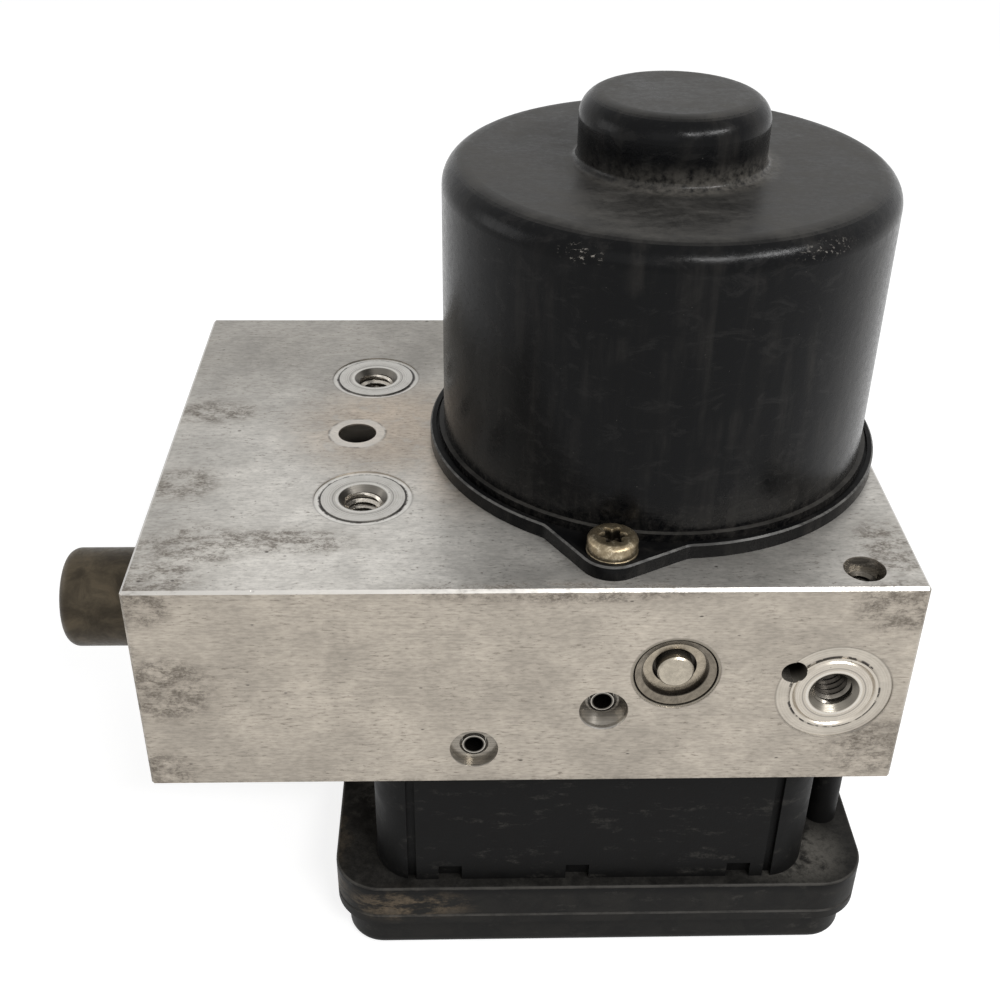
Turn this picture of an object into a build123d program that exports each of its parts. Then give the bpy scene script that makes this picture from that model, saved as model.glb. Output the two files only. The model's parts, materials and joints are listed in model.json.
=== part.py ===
from build123d import *
import os
from math import hypot, sqrt

# Anti-lock brake module: an aluminium valve block, the pump motor on top of it and the
# plastic control unit below it. Millimetres, +Z up. The origin is on the motor axis, at
# the underside of the control unit's lid. -Y is the front, where the pump plug shows.

os.makedirs("parts", exist_ok=True)

# ---------------------------------------------------------------- clearances
seat_gap = 0.02  # pressed and bonded seats, radial
run_gap = 0.05  # running and sliding fits, radial
thread_gap = 0.05  # screw shank in its thread
cam_gap = 0.15  # pump piston to the eccentric ring's furthest reach
hole_gap = 0.25  # screw shank in a clearance hole, radial
contact_gap = 0.05  # blade or pin in its slot, each side
drill_room = 1.0  # blind hole beyond the end of its screw

# ---------------------------------------------------------------- stack heights
pan_height = 8.6  # lid pan below the lid's flange
lid_flange_height = 2.2
rim_height = 7.35  # control unit's rim above the lid
neck_height = 27.45  # control unit's neck up to the block
block_height = 42.0
plate_height = 2.1  # motor mounting plate
can_height = 51.5  # motor can above the plate
boss_height = 11.2  # bearing boss above the can

z_lid_flange = pan_height
z_rim = z_lid_flange + lid_flange_height
z_ledge = z_rim + rim_height
z_block = z_ledge + neck_height
z_top = z_block + block_height
z_can = z_top + plate_height
z_shoulder = z_can + can_height
z_boss = z_shoulder + boss_height

# ---------------------------------------------------------------- valve block
block_length = 130.0
block_width = 100.0
axis_to_right = 40.0  # motor axis to the right end
axis_to_front = 50.0  # motor axis to the front face
block_edge = 0.5
x_right = axis_to_right
x_left = axis_to_right - block_length
y_front = -axis_to_front
y_back = block_width - axis_to_front

insert_radius = 7.4
insert_length = 14.0
insert_mouth = 4.3
thread_m8 = 3.35
thread_m8_depth = 20.0
spotface_radius = 8.7
spotface_depth = 0.2
top_insert_x = -53.0
top_insert_spread = 45.0
vent_x = -55.4
vent_radius = 3.6
vent_depth = 16.0
bracket_hole_inset = (9.7, 5.4)  # from the right end and the front face
bracket_mouth_radius = 3.5
bracket_mouth_depth = 2.5
thread_m6 = 2.6
bracket_hole_depth = 14.0

front_insert_inset = 12.8  # from the right end
front_insert_drop = 22.0  # below the block's top
front_insert_radius = 7.5
front_line_radius = 6.8
front_line_width = 0.3
front_spotface_radius = 9.9
lock_hole_radius = 2.2
lock_hole_depth = 5.0
lock_hole_rise = 4.5
lock_hole_inset = 0.2  # its axis inside the insert's rim

plug_low = (-33.7, -34.1)  # sealed drillings on the front face, from the top edge
plug_high = (-11.7, -25.6)
plug_mouth_radius = 4.2
plug_low_depth = 1.4
plug_high_depth = 2.7
plug_bowl_radius = 3.9  # where the high one's rounded mouth turns into its cone
plug_bowl_depth = 0.8
plug_floor_radius = 2.9
sleeve_radius = 2.5
sleeve_bore = 1.6
sleeve_length = 7.0
sleeve_edge = 0.5  # open ring round the sleeve's end
sleeve_step = 1.2
sleeve_lip = 0.2
drilling_depth = 16.0

# ---------------------------------------------------------------- pump
pump_drop = 17.5  # pump axis below the block's top
pump_plug_radius = 7.5
pump_plug_length = 5.8
cylinder_radius = 6.0
pump_bore_overrun = 2.0  # past the eccentric chamber's wall
cup_seat_radius = 7.15  # turned face of the pump's screw plug, from its rim inwards
cup_seat_drop = 0.1
cup_line_radius = 7.0
cup_line_depth = 0.6
cup_collar_outer = 6.85
cup_collar_drop = 0.25
cup_collar_inner = 5.6
cup_collar_depth = 0.9
cup_land_outer = 5.3
cup_land_inner = 3.75
cup_land_depth = 2.0
cup_groove_outer = 3.6
cup_groove_depth = 3.2
cup_boss_radius = 3.1
cup_boss_drop = 0.3
cup_boss_edge = 0.3
cylinder_setback = 1.0  # behind the eccentric chamber's wall
cylinder_head_room = 4.2  # between the cylinder and its plug
spring_room_length = 11.0
spring_room_radius = 4.5
cylinder_wall = 2.0
outlet_radius = 1.0
piston_radius = 3.25
piston_edge = 0.5
piston_head_height = 1.2
eccentricity = 1.0
eccentric_radius = 8.6
eccentric_width = 12.0
ring_radius = 11.0
ring_width = 10.0
chamber_radius = 16.0
chamber_depth = 26.5
spring_wire = 0.7
spring_side_gap = 0.4
pump_spring_turns = 4

# ---------------------------------------------------------------- low-pressure accumulators
accumulator_offset = 20.0  # last one's axis from the motor axis
accumulator_spacing = 20.0
accumulator_post_room = 12.0  # least distance of the first one from the left post
accumulator_y = -5.0
accumulator_radius = 8.5
accumulator_depth = 13.5
accumulator_piston_height = 4.6
accumulator_cap_height = 2.0
accumulator_skirt = 1.4
accumulator_wall = 2.0
accumulator_spring_turns = 3
accumulator_cap_rim = 1.6
accumulator_cap_dish = 0.6
end_gap = 0.3

# ---------------------------------------------------------------- solenoid valves
coil_room = 1.2  # between neighbouring coils
valve_end_room = 14.1  # first valve's axis from the neck's left end
valve_tail_room = 16.7  # least distance of the last one from its right end
valve_front_inset = 20.0  # front row from the block's front face
valve_rear_inset = 11.5  # rear row from the neck's back wall
valve_radius = 5.2
valve_depth = 14.0
valve_nose_height = 2.0
valve_nose_taper = 1.4
valve_collar_radius = 5.9
valve_collar_height = 1.6
dome_radius = 3.6
dome_wall = 0.5
dome_length = 22.6
plunger_length = 9.5
plunger_travel = 0.4
stem_radius = 0.9
stem_length = 10.0
coil_radius = 7.9
coil_bore = 3.75
coil_height = 21.0
coil_flange = 1.2
coil_groove = 0.7
coil_lead_offset = 9.1
coil_lead_width = 5.0
coil_lead_slot = 1.2

# ---------------------------------------------------------------- motor
can_radius = 38.9
can_wall = 1.6
can_fillet = 4.5
boss_radius = 16.0
boss_fillet = 4.0
boss_foot = 1.2
hem_width = 0.9
hem_height = 1.5
hem_room = 0.6  # between the hem and the plate's raised lip
rim_rise = 0.6  # raised lip all along the plate's outline
rim_width = 1.1
rim_edge = 0.3
lug_angle = 255.2
lug_offset = 1.95  # screw's axis beyond the plate's round outline
lug_radius = 5.65
lug_root_width = 24.5
lug_blend = 3.0
hub_radius = 17.0
hub_depth = 7.0
hub_lip_radius = 9.5
seal_size = 1.6  # square-cut ring round the motor's hub
seal_drop = 3.6
shaft_radius = 6.0
bearing_radius = 14.0
bearing_height = 8.0
race_width = 2.2
shield_depth = 0.5
bearing_head_room = 1.8  # upper bearing below the boss's ceiling
shaft_end_gap = 0.5
shaft_edge = 0.8
tail_radius = 4.5
tail_bush_radius = 6.5
tail_bush_height = 4.0
air_gap = 0.8  # core to magnets
core_start = 22.0  # above the block's top
armature_head_room = 1.4  # end turns below the can's ceiling
slots = 12
slot_inner = 14.0
tooth_tip = 3.5  # core outside the slots
slot_inner_width = 4.0
slot_outer_width = 9.0
slot_mouth = 2.4
wire_gap = 0.15
end_turn_height = 4.6
end_turn_rim = 2.0  # inside the core's outline
end_turn_inset = 1.5  # inside the slots' inner end
end_turn_edge = 1.2
end_turn_slope = 3.0
commutator_radius = 9.5
commutator_start = 4.8
commutator_height = 11.2
commutator_bars = 12
bar_slit = 0.6
bar_slit_depth = 0.8
magnet_thickness = 6.95
magnet_start = 19.0
magnet_head_room = 3.0  # magnets below the can's ceiling
magnet_gap = 11.0
brush_plate_room = 0.7  # inside the can's wall
brush_plate_bore = 14.6
brush_plate_height = 2.5
brush_size = 6.0
brush_length = 12.0
brush_wrap = 0.8  # how far its sides reach round the commutator
brush_gap = 0.1
brush_spring_radius = 1.6
brush_spring_wire = 0.6
brush_spring_turns = 3
holder_size = 9.0
holder_inner_end = 11.5
holder_outer_end = 27.0
holder_floor = 1.2
motor_screw_radius = 2.5
motor_screw_head_radius = 4.2
motor_screw_head_height = 3.2
motor_screw_head_edge = 0.4
motor_screw_depth = 12.0
drive_radius = 1.35
drive_lobe_radius = 0.45
drive_depth = 1.8
terminal_x = 22.0
terminal_y = -4.0
terminal_bore = 4.2
terminal_spread = 3.2
blade_width = 2.4
blade_thickness = 0.8
blade_rise = 3.0
blade_side_room = 1.6  # openings that the blades pass
blade_end_room = 0.9

# ---------------------------------------------------------------- side damper
damper_y = -23.0
damper_drop = 21.0
damper_radius = 9.0
damper_stand_out = 17.2
damper_depth = 14.0
damper_wall = 1.2
damper_fillet = 2.3
damper_foot = 1.5
cushion_edge = 3.0

# ---------------------------------------------------------------- brake line ports
port_drops = (12.0, 31.0)
master_port_inset = 12.0  # from the block's left end
wheel_port_insets = (33.0, 54.0)
thread_m12 = 5.46
thread_m10 = 4.46
port_depth = 12.0
port_cone = 2.0
port_drilling = 1.6
port_drilling_length = 4.0
port_spotface = 8.2

# ---------------------------------------------------------------- control unit
unit_length = 101.1
unit_overhang = 1.1  # past the block's right end
unit_corner = 9.0
unit_wall = 2.2
unit_edge = 0.6
joint_edge = 0.35  # along the joint between housing and lid
ledge_thickness = 2.0
neck_left_inset = 7.9  # from the unit's left end
neck_right_inset = 10.3  # from the block's right end
neck_setback = 2.3  # behind the block's front face
neck_back_inset = 18.5  # from the block's back face
neck_corner = 8.0
neck_wall = 2.0
neck_groove_insets = (6.9, 8.0)  # from the neck's left and right ends
neck_groove_width = 1.6
neck_groove_depth = 1.2
latch_insets = (14.0, 13.5)  # from the neck's left and right ends
latch_shift = 3.0  # middle notch, left of the neck's middle
latch_width = 4.4
latch_height = 3.5
latch_depth = 1.4
post_inset = 4.5  # right posts from the block's right end
post_side_inset = 18.5  # right posts from the block's front and back faces
post_left_inset = 4.9  # left post from the unit's left end
post_radius = 3.15
post_foot_radius = 4.3
unit_screw_radius = 1.6
unit_screw_head_radius = 2.6
unit_screw_head_height = 2.2
unit_screw_depth = 10.0
screw_pocket_radius = 2.85
pocket_wall = 1.6
pan_inset = 2.0
pan_edge = 2.0
pan_wall = 1.8
seal_width = 0.8
seal_height = 0.7
board_height = 1.6
board_gap = 0.6
standoff_height = 3.2
standoff_radius = 2.5
standoff_inset = 7.5
socket_side_room = 10.9  # from each end of the neck
socket_height = 24.4
socket_corner = 3.0
socket_wall = 2.0
pin_size = 0.64
pin_space = 3.36  # between neighbouring pins of a row
pin_free_columns = 2  # pitches left free in the socket's width
pin_rows = (27.0, 34.0)
pin_reach = 10.0
pin_leg_inset = 2.8  # from the neck's back wall
pin_leg_room = 0.25

# ---------------------------------------------------------------- places that follow
hem_radius = can_radius + hem_width
plate_radius = hem_radius + hem_room + rim_width
lug_distance = plate_radius + lug_offset
lug_root_radius = sqrt(plate_radius**2 - (lug_root_width / 2) ** 2)
block_mid = ((x_left + x_right) / 2, (y_front + y_back) / 2)
z_pump = z_top - pump_drop
bracket_hole = (x_right - bracket_hole_inset[0], y_front + bracket_hole_inset[1])
front_insert_x = x_right - front_insert_inset
master_port_x = x_left + master_port_inset
wheel_port_x = [x_left + inset for inset in wheel_port_insets]

can_ceiling = plate_height + can_height - can_wall  # above the block's top
core_height = can_ceiling - armature_head_room - end_turn_height - core_start
magnet_height = can_ceiling - magnet_head_room - magnet_start
upper_bearing_z = can_ceiling + boss_height - bearing_head_room - bearing_height
can_bore = can_radius - can_wall
brush_plate_radius = can_bore - brush_plate_room
magnet_outer = can_bore - run_gap
magnet_inner = magnet_outer - magnet_thickness
core_radius = magnet_inner - air_gap
slot_outer = core_radius - tooth_tip
end_turn_outer = core_radius - end_turn_rim

unit_width = block_width  # flush with the block at the front and the back
unit_low = (x_right + unit_overhang - unit_length, y_front)
unit_high = (x_right + unit_overhang, y_front + unit_width)
neck_low = (unit_low[0] + neck_left_inset, y_front + neck_setback)
neck_high = (x_right - neck_right_inset, y_back - neck_back_inset)
neck_length = neck_high[0] - neck_low[0]
neck_mid_x = (neck_low[0] + neck_high[0]) / 2
neck_groove_x = (neck_low[0] + neck_groove_insets[0], neck_high[0] - neck_groove_insets[1])
latch_x = (neck_low[0] + latch_insets[0], neck_mid_x - latch_shift, neck_high[0] - latch_insets[1])
valve_pitch = 2 * coil_radius + coil_room
valve_columns = 1 + int((neck_length - valve_end_room - valve_tail_room) / valve_pitch + 1e-6)
valve_x = [neck_low[0] + valve_end_room + valve_pitch * i for i in range(valve_columns)]
valve_y = (y_front + valve_front_inset, neck_high[1] - valve_rear_inset)
valve_spots = [(x, y) for y in valve_y for x in valve_x]
post_spots = (
    (x_right - post_inset, y_front + post_side_inset),
    (x_right - post_inset, y_back - post_side_inset),
    (unit_low[0] + post_left_inset, (unit_low[1] + unit_high[1]) / 2),
)
accumulator_row = -accumulator_offset - accumulator_post_room - post_spots[-1][0]
accumulator_count = 1 + int(accumulator_row / accumulator_spacing)
accumulator_x = [
    -accumulator_offset - accumulator_spacing * i for i in reversed(range(accumulator_count))
]
socket_x = neck_mid_x
socket_width = neck_length - 2 * socket_side_room
pin_pitch = pin_size + pin_space
pin_columns = int((socket_width - 2 * socket_wall) / pin_pitch) - pin_free_columns
pin_leg_y = neck_high[1] - pin_leg_inset
neck_seal_inset = (neck_wall - seal_width) / 2
lid_seal_inset = (unit_wall - seal_width) / 2
z_board = z_ledge - ledge_thickness - standoff_height - board_height
brush_mid_z = z_can + brush_plate_height + holder_floor + run_gap + brush_size / 2
terminal_spots = (
    (terminal_x - terminal_spread / 2, terminal_y),
    (terminal_x + terminal_spread / 2, terminal_y),
)
blade_window = (
    terminal_spread + blade_thickness + 2 * blade_side_room,
    blade_width + 2 * blade_end_room,
)
lug_spots = PolarLocations(lug_distance, 2, start_angle=lug_angle)

top_face = Plane.XY.offset(z_top)
bottom_face = Plane.XY.offset(z_block)
front_face = Plane(origin=(0, y_front, z_top), x_dir=(1, 0, 0), z_dir=(0, -1, 0))
back_face = Plane(origin=(0, y_back, z_top), x_dir=(-1, 0, 0), z_dir=(0, 1, 0))
left_face = Plane(origin=(x_left, 0, z_top), x_dir=(0, -1, 0), z_dir=(-1, 0, 0))


def turning(centre, outward):
    """A plane with the radius along x and the outward axis along y, and that axis."""
    across = Vector(1, 0, 0) if abs(outward[2]) > 0.5 else Vector(0, 0, 1)
    normal = across.cross(Vector(*outward))
    return Plane(origin=centre, x_dir=across, z_dir=normal), Axis(centre, outward)


def turned(centre, outward, profile, mode=Mode.ADD):
    """Revolve a closed profile of (radius, outward distance) points."""
    plane, axis = turning(centre, outward)
    with BuildSketch(plane) as section:
        Polygon(*profile, align=None)
    revolve(section.sketch, axis=axis, mode=mode)


def circles(part, radius, height):
    """The circular edges of one radius at one height."""
    rims = part.edges().filter_by(GeomType.CIRCLE)
    return [e for e in rims if abs(e.radius - radius) < 1e-6 and abs(e.center().Z - height) < 1e-6]


def stepped_bore(face, spots, steps, inward=-1):
    """Cut round steps of (radius, depth from the face) at each spot."""
    for radius, depth in steps:
        with BuildSketch(face) as mouth:
            with Locations(*spots):
                Circle(radius)
        extrude(mouth.sketch, amount=inward * depth, mode=Mode.SUBTRACT)


def rounded_box(low, high, corner, bottom, top):
    """A solid between two corner points of its plan, with rounded upright edges."""
    middle = ((low[0] + high[0]) / 2, (low[1] + high[1]) / 2)
    with BuildSketch(Plane.XY.offset(bottom)) as plan:
        with Locations(middle):
            RectangleRounded(high[0] - low[0], high[1] - low[1], corner)
    return plan.sketch, top - bottom


def rounded_ring(low, high, corner, start, width, level):
    """A flat rounded ring that starts inside the outline between two corner points."""
    middle = ((low[0] + high[0]) / 2, (low[1] + high[1]) / 2)
    end = start + width
    with BuildSketch(Plane.XY.offset(level)) as ring:
        with Locations(middle):
            RectangleRounded(
                high[0] - low[0] - 2 * start, high[1] - low[1] - 2 * start, corner - start
            )
            RectangleRounded(
                high[0] - low[0] - 2 * end,
                high[1] - low[1] - 2 * end,
                corner - end,
                mode=Mode.SUBTRACT,
            )
    return ring.sketch


def save(part, name):
    """Label a finished piece and write it."""
    part.part.label = name
    export_step(part.part, f"parts/{name}.step")


# ================================================================ valve block
insert_pocket = [
    (spotface_radius, spotface_depth),
    (insert_radius + seat_gap, insert_length),
    (thread_m8, thread_m8_depth),
]
top_insert_spots = [
    (top_insert_x, -top_insert_spread / 2),
    (top_insert_x, top_insert_spread / 2),
]
valve_mouth = [(valve_radius, valve_depth)]
post_holes = [(unit_screw_radius + thread_gap, unit_screw_depth + drill_room)]

with BuildPart() as valve_block:
    with BuildSketch(bottom_face):
        with Locations(block_mid):
            Rectangle(block_length, block_width)
    extrude(amount=block_height)
    chamfer(valve_block.edges(), block_edge)
    stepped_bore(
        top_face,
        [(0, 0)],
        [
            (hub_radius + seat_gap, hub_depth),
            (chamber_radius, chamber_depth),
            (tail_bush_radius + seat_gap, chamber_depth + tail_bush_height + end_gap),
        ],
    )
    stepped_bore(top_face, top_insert_spots, insert_pocket)
    stepped_bore(top_face, [(vent_x, 0)], [(vent_radius, vent_depth)])
    stepped_bore(
        top_face,
        [bracket_hole],
        [(bracket_mouth_radius, bracket_mouth_depth), (thread_m6, bracket_hole_depth)],
    )
    stepped_bore(
        top_face,
        [(lug.position.X, lug.position.Y) for lug in lug_spots.locations],
        [(motor_screw_radius, motor_screw_depth + drill_room)],
    )
    stepped_bore(top_face, [(terminal_x, terminal_y)], [(terminal_bore, block_height)])
    # front face: threaded insert, its locking hole, two sealed drillings, pump bore
    stepped_bore(
        front_face,
        [(front_insert_x, -front_insert_drop)],
        [
            (front_spotface_radius, spotface_depth),
            (front_insert_radius + seat_gap, insert_length),
            (thread_m8, thread_m8_depth),
        ],
    )
    lock_spot = (
        front_insert_x - front_insert_radius + lock_hole_inset,
        lock_hole_rise - front_insert_drop,
    )
    stepped_bore(front_face, [lock_spot], [(lock_hole_radius, lock_hole_depth)])
    stepped_bore(
        front_face,
        [plug_low],
        [
            (plug_mouth_radius, plug_low_depth),
            (sleeve_radius + seat_gap, plug_low_depth + sleeve_length),
            (sleeve_bore, drilling_depth),
        ],
    )
    turned(
        (plug_high[0], y_front, z_top + plug_high[1]),
        (0, -1, 0),
        [
            (0, 0),
            (plug_mouth_radius, 0),
            (plug_bowl_radius, -plug_bowl_depth),
            (plug_floor_radius, -plug_high_depth),
            (0, -plug_high_depth),
        ],
        Mode.SUBTRACT,
    )
    stepped_bore(
        front_face,
        [plug_high],
        [
            (sleeve_radius + seat_gap, plug_high_depth + sleeve_length),
            (sleeve_bore, drilling_depth + plug_high_depth),
        ],
    )
    for face in (front_face, back_face):
        stepped_bore(
            face,
            [(0, -pump_drop)],
            [
                (pump_plug_radius + seat_gap, pump_plug_length),
                (
                    cylinder_radius + seat_gap,
                    abs(face.origin.Y) - chamber_radius + pump_bore_overrun,
                ),
            ],
        )
    # left face: damper bore
    stepped_bore(
        left_face,
        [(-damper_y, -damper_drop)],
        [(damper_radius + seat_gap, damper_depth)],
    )
    # back face: two master cylinder ports and four wheel ports
    for port_x, thread in [(master_port_x, thread_m12), *[(x, thread_m10) for x in wheel_port_x]]:
        for drop in port_drops:
            stepped_bore(back_face, [(-port_x, -drop)], [(port_spotface, spotface_depth)])
            turned(
                (port_x, y_back, z_top - drop),
                (0, 1, 0),
                [
                    (0, 0),
                    (thread, 0),
                    (thread, -port_depth),
                    (port_drilling, -port_depth - port_cone),
                    (port_drilling, -port_depth - port_cone - port_drilling_length),
                    (0, -port_depth - port_cone - port_drilling_length),
                ],
                Mode.SUBTRACT,
            )
    # underside: valve bores, accumulators and the control unit's screws
    stepped_bore(bottom_face, valve_spots, valve_mouth, inward=1)
    stepped_bore(
        bottom_face,
        [(x, accumulator_y) for x in accumulator_x],
        [(accumulator_radius + seat_gap, accumulator_depth)],
        inward=1,
    )
    stepped_bore(bottom_face, post_spots, post_holes, inward=1)
save(valve_block, "valve_block")


# ================================================================ inserts and plugs
insert_profile = [
    (thread_m8, -insert_length),
    (insert_radius, -insert_length),
    (insert_radius, 0),
    (insert_mouth, 0),
    (thread_m8, thread_m8 - insert_mouth),
]
for name, spot in zip(("top_insert_front", "top_insert_rear"), top_insert_spots):
    with BuildPart() as top_insert:
        turned((spot[0], spot[1], z_top), (0, 0, 1), insert_profile)
    save(top_insert, name)

with BuildPart() as front_insert:
    turned(
        (front_insert_x, y_front, z_top - front_insert_drop),
        (0, -1, 0),
        [
            (thread_m8, -insert_length),
            (front_insert_radius, -insert_length),
            (front_insert_radius, 0),
            (front_line_radius + front_line_width, 0),
            (front_line_radius, -front_line_width),
            (front_line_radius - front_line_width, 0),
            (insert_mouth, 0),
            (thread_m8, thread_m8 - insert_mouth),
        ],
    )
    stepped_bore(front_face, [lock_spot], [(lock_hole_radius, lock_hole_depth)])
save(front_insert, "front_insert")

for name, spot, depth in (
    ("drilling_plug_low", plug_low, plug_low_depth),
    ("drilling_plug_high", plug_high, plug_high_depth),
):
    with BuildPart() as drilling_plug:
        turned(
            (spot[0], y_front + depth, z_top + spot[1]),
            (0, -1, 0),
            [
                (sleeve_bore, -sleeve_length),
                (sleeve_radius, -sleeve_length),
                (sleeve_radius, -sleeve_step),
                (sleeve_radius - sleeve_edge, -sleeve_step),
                (sleeve_radius - sleeve_edge, sleeve_lip),
                (sleeve_bore, sleeve_lip),
            ],
        )
    save(drilling_plug, name)

cup_profile = [
    (0, -pump_plug_length),
    (pump_plug_radius, -pump_plug_length),
    (pump_plug_radius, -cup_seat_drop),
    (cup_seat_radius, -cup_seat_drop),
    (cup_line_radius, -cup_line_depth),
    (cup_collar_outer, -cup_collar_drop),
    (cup_collar_inner, -cup_collar_depth),
    (cup_land_outer, -cup_land_depth),
    (cup_land_inner, -cup_land_depth),
    (cup_groove_outer, -cup_groove_depth),
    (cup_boss_radius, -cup_groove_depth),
    (cup_boss_radius, -cup_boss_drop - cup_boss_edge),
    (cup_boss_radius - cup_boss_edge, -cup_boss_drop),
    (0, -cup_boss_drop),
]


# ================================================================ pump pieces
cylinder_inner_end = chamber_radius + cylinder_setback
piston_inner_end = ring_radius + eccentricity + cam_gap


def coil_spring(start, direction, room, inner, wire, turns):
    """A helical spring of square wire that fills the room between its two seats."""
    low = Vector(*start) + Vector(*direction) * (wire / 2 + run_gap)
    travel = room - wire - 2 * run_gap
    helix = Helix(
        pitch=travel / turns,
        height=travel,
        radius=inner + wire / 2,
        center=low,
        direction=direction,
    )
    with BuildSketch(Plane(origin=helix @ 0, z_dir=helix % 0)) as section:
        Rectangle(wire, wire)
    sweep(section.sketch, path=helix, is_frenet=True)


for name, side, face in (("front", -1, front_face), ("rear", 1, back_face)):
    outward = (0, side, 0)
    cylinder_outer_end = abs(face.origin.Y) - pump_plug_length - cylinder_head_room
    spring_room_end = cylinder_outer_end - cylinder_wall
    spring_room_start = cylinder_outer_end - spring_room_length
    piston_head_start = spring_room_start + end_gap
    piston_outer_end = piston_head_start + piston_head_height

    with BuildPart() as pump_plug:
        turned((0, face.origin.Y, z_pump), outward, cup_profile)
    save(pump_plug, f"pump_plug_{name}")

    with BuildPart() as pump_cylinder:
        turned(
            (0, 0, z_pump),
            outward,
            [
                (piston_radius + run_gap, cylinder_inner_end),
                (cylinder_radius, cylinder_inner_end),
                (cylinder_radius, cylinder_outer_end),
                (outlet_radius, cylinder_outer_end),
                (outlet_radius, spring_room_end),
                (spring_room_radius, spring_room_end),
                (spring_room_radius, spring_room_start),
                (piston_radius + run_gap, spring_room_start),
            ],
        )
    save(pump_cylinder, f"pump_cylinder_{name}")

    with BuildPart() as pump_piston:
        turned(
            (0, 0, z_pump),
            outward,
            [
                (0, piston_inner_end),
                (piston_radius - piston_edge, piston_inner_end),
                (piston_radius, piston_inner_end + piston_edge),
                (piston_radius, piston_head_start),
                (spring_room_radius - end_gap, piston_head_start),
                (spring_room_radius - end_gap, piston_outer_end),
                (0, piston_outer_end),
            ],
        )
    save(pump_piston, f"pump_piston_{name}")

    with BuildPart() as pump_spring:
        coil_spring(
            (0, side * piston_outer_end, z_pump),
            outward,
            spring_room_end - piston_outer_end,
            spring_room_radius - spring_wire - spring_side_gap,
            spring_wire,
            pump_spring_turns,
        )
    save(pump_spring, f"pump_spring_{name}")

with BuildPart() as eccentric_ring:
    with BuildSketch(Plane.XY.offset(z_pump - ring_width / 2)):
        with Locations((eccentricity, 0)):
            Circle(ring_radius)
            Circle(eccentric_radius + run_gap, mode=Mode.SUBTRACT)
    extrude(amount=ring_width)
save(eccentric_ring, "eccentric_ring")


# ================================================================ accumulators
accumulator_top = z_block + accumulator_depth - end_gap
spring_top = accumulator_top - accumulator_piston_height + accumulator_skirt
spring_seat = z_block + accumulator_cap_height
for number, x in enumerate(accumulator_x, start=1):
    with BuildPart() as accumulator_piston:
        turned(
            (x, accumulator_y, accumulator_top),
            (0, 0, 1),
            [
                (0, accumulator_skirt - accumulator_piston_height),
                (accumulator_radius - accumulator_wall, accumulator_skirt - accumulator_piston_height),
                (accumulator_radius - accumulator_wall, -accumulator_piston_height),
                (accumulator_radius - run_gap, -accumulator_piston_height),
                (accumulator_radius - run_gap, -piston_edge),
                (accumulator_radius - run_gap - piston_edge, 0),
                (0, 0),
            ],
        )
    save(accumulator_piston, f"accumulator_piston_{number}")

    with BuildPart() as accumulator_spring:
        coil_spring(
            (x, accumulator_y, spring_seat),
            (0, 0, 1),
            spring_top - spring_seat,
            accumulator_radius - accumulator_wall - spring_side_gap - spring_wire,
            spring_wire,
            accumulator_spring_turns,
        )
    save(accumulator_spring, f"accumulator_spring_{number}")

    with BuildPart() as accumulator_cap:
        turned(
            (x, accumulator_y, z_block),
            (0, 0, 1),
            [
                (0, accumulator_cap_dish),
                (accumulator_radius - accumulator_cap_rim, accumulator_cap_dish),
                (accumulator_radius - accumulator_cap_rim + accumulator_cap_dish, 0),
                (accumulator_radius, 0),
                (accumulator_radius, accumulator_cap_height),
                (0, accumulator_cap_height),
            ],
        )
    save(accumulator_cap, f"accumulator_cap_{number}")


# ================================================================ solenoid valves
dome_end = z_block - dome_length
plunger_foot = dome_end + dome_wall + run_gap
cavity_top = plunger_foot + plunger_length + plunger_travel + run_gap
with BuildPart() as valve_cartridges:
    for x, y in valve_spots:
        turned(
            (x, y, 0),
            (0, 0, 1),
            [
                (0, dome_end),
                (dome_radius, dome_end),
                (dome_radius, z_block - valve_collar_height),
                (valve_collar_radius, z_block - valve_collar_height),
                (valve_collar_radius, z_block),
                (valve_radius - seat_gap, z_block),
                (valve_radius - seat_gap, z_block + valve_depth - valve_nose_height),
                (valve_radius - valve_nose_taper, z_block + valve_depth - end_gap),
                (stem_radius + run_gap, z_block + valve_depth - end_gap),
                (stem_radius + run_gap, cavity_top),
                (dome_radius - dome_wall, cavity_top),
                (dome_radius - dome_wall, dome_end + dome_wall),
                (0, dome_end + dome_wall),
            ],
        )
save(valve_cartridges, "valve_cartridges")

for number, (x, y) in enumerate(valve_spots, start=1):
    with BuildPart() as valve_plunger:
        turned(
            (x, y, plunger_foot),
            (0, 0, 1),
            [
                (0, 0),
                (dome_radius - dome_wall - run_gap, 0),
                (dome_radius - dome_wall - run_gap, plunger_length),
                (stem_radius, plunger_length),
                (stem_radius, plunger_length + stem_length),
                (0, plunger_length + stem_length),
            ],
        )
    save(valve_plunger, f"valve_plunger_{number}")

with BuildPart() as valve_coils:
    for x, y in valve_spots:
        turned(
            (x, y, z_ledge),
            (0, 0, 1),
            [
                (coil_bore, 0),
                (coil_radius, 0),
                (coil_radius, coil_flange),
                (coil_radius - coil_groove, coil_flange),
                (coil_radius - coil_groove, coil_height - coil_flange),
                (coil_radius, coil_height - coil_flange),
                (coil_radius, coil_height),
                (coil_bore, coil_height),
            ],
        )
save(valve_coils, "valve_coils")


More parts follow.
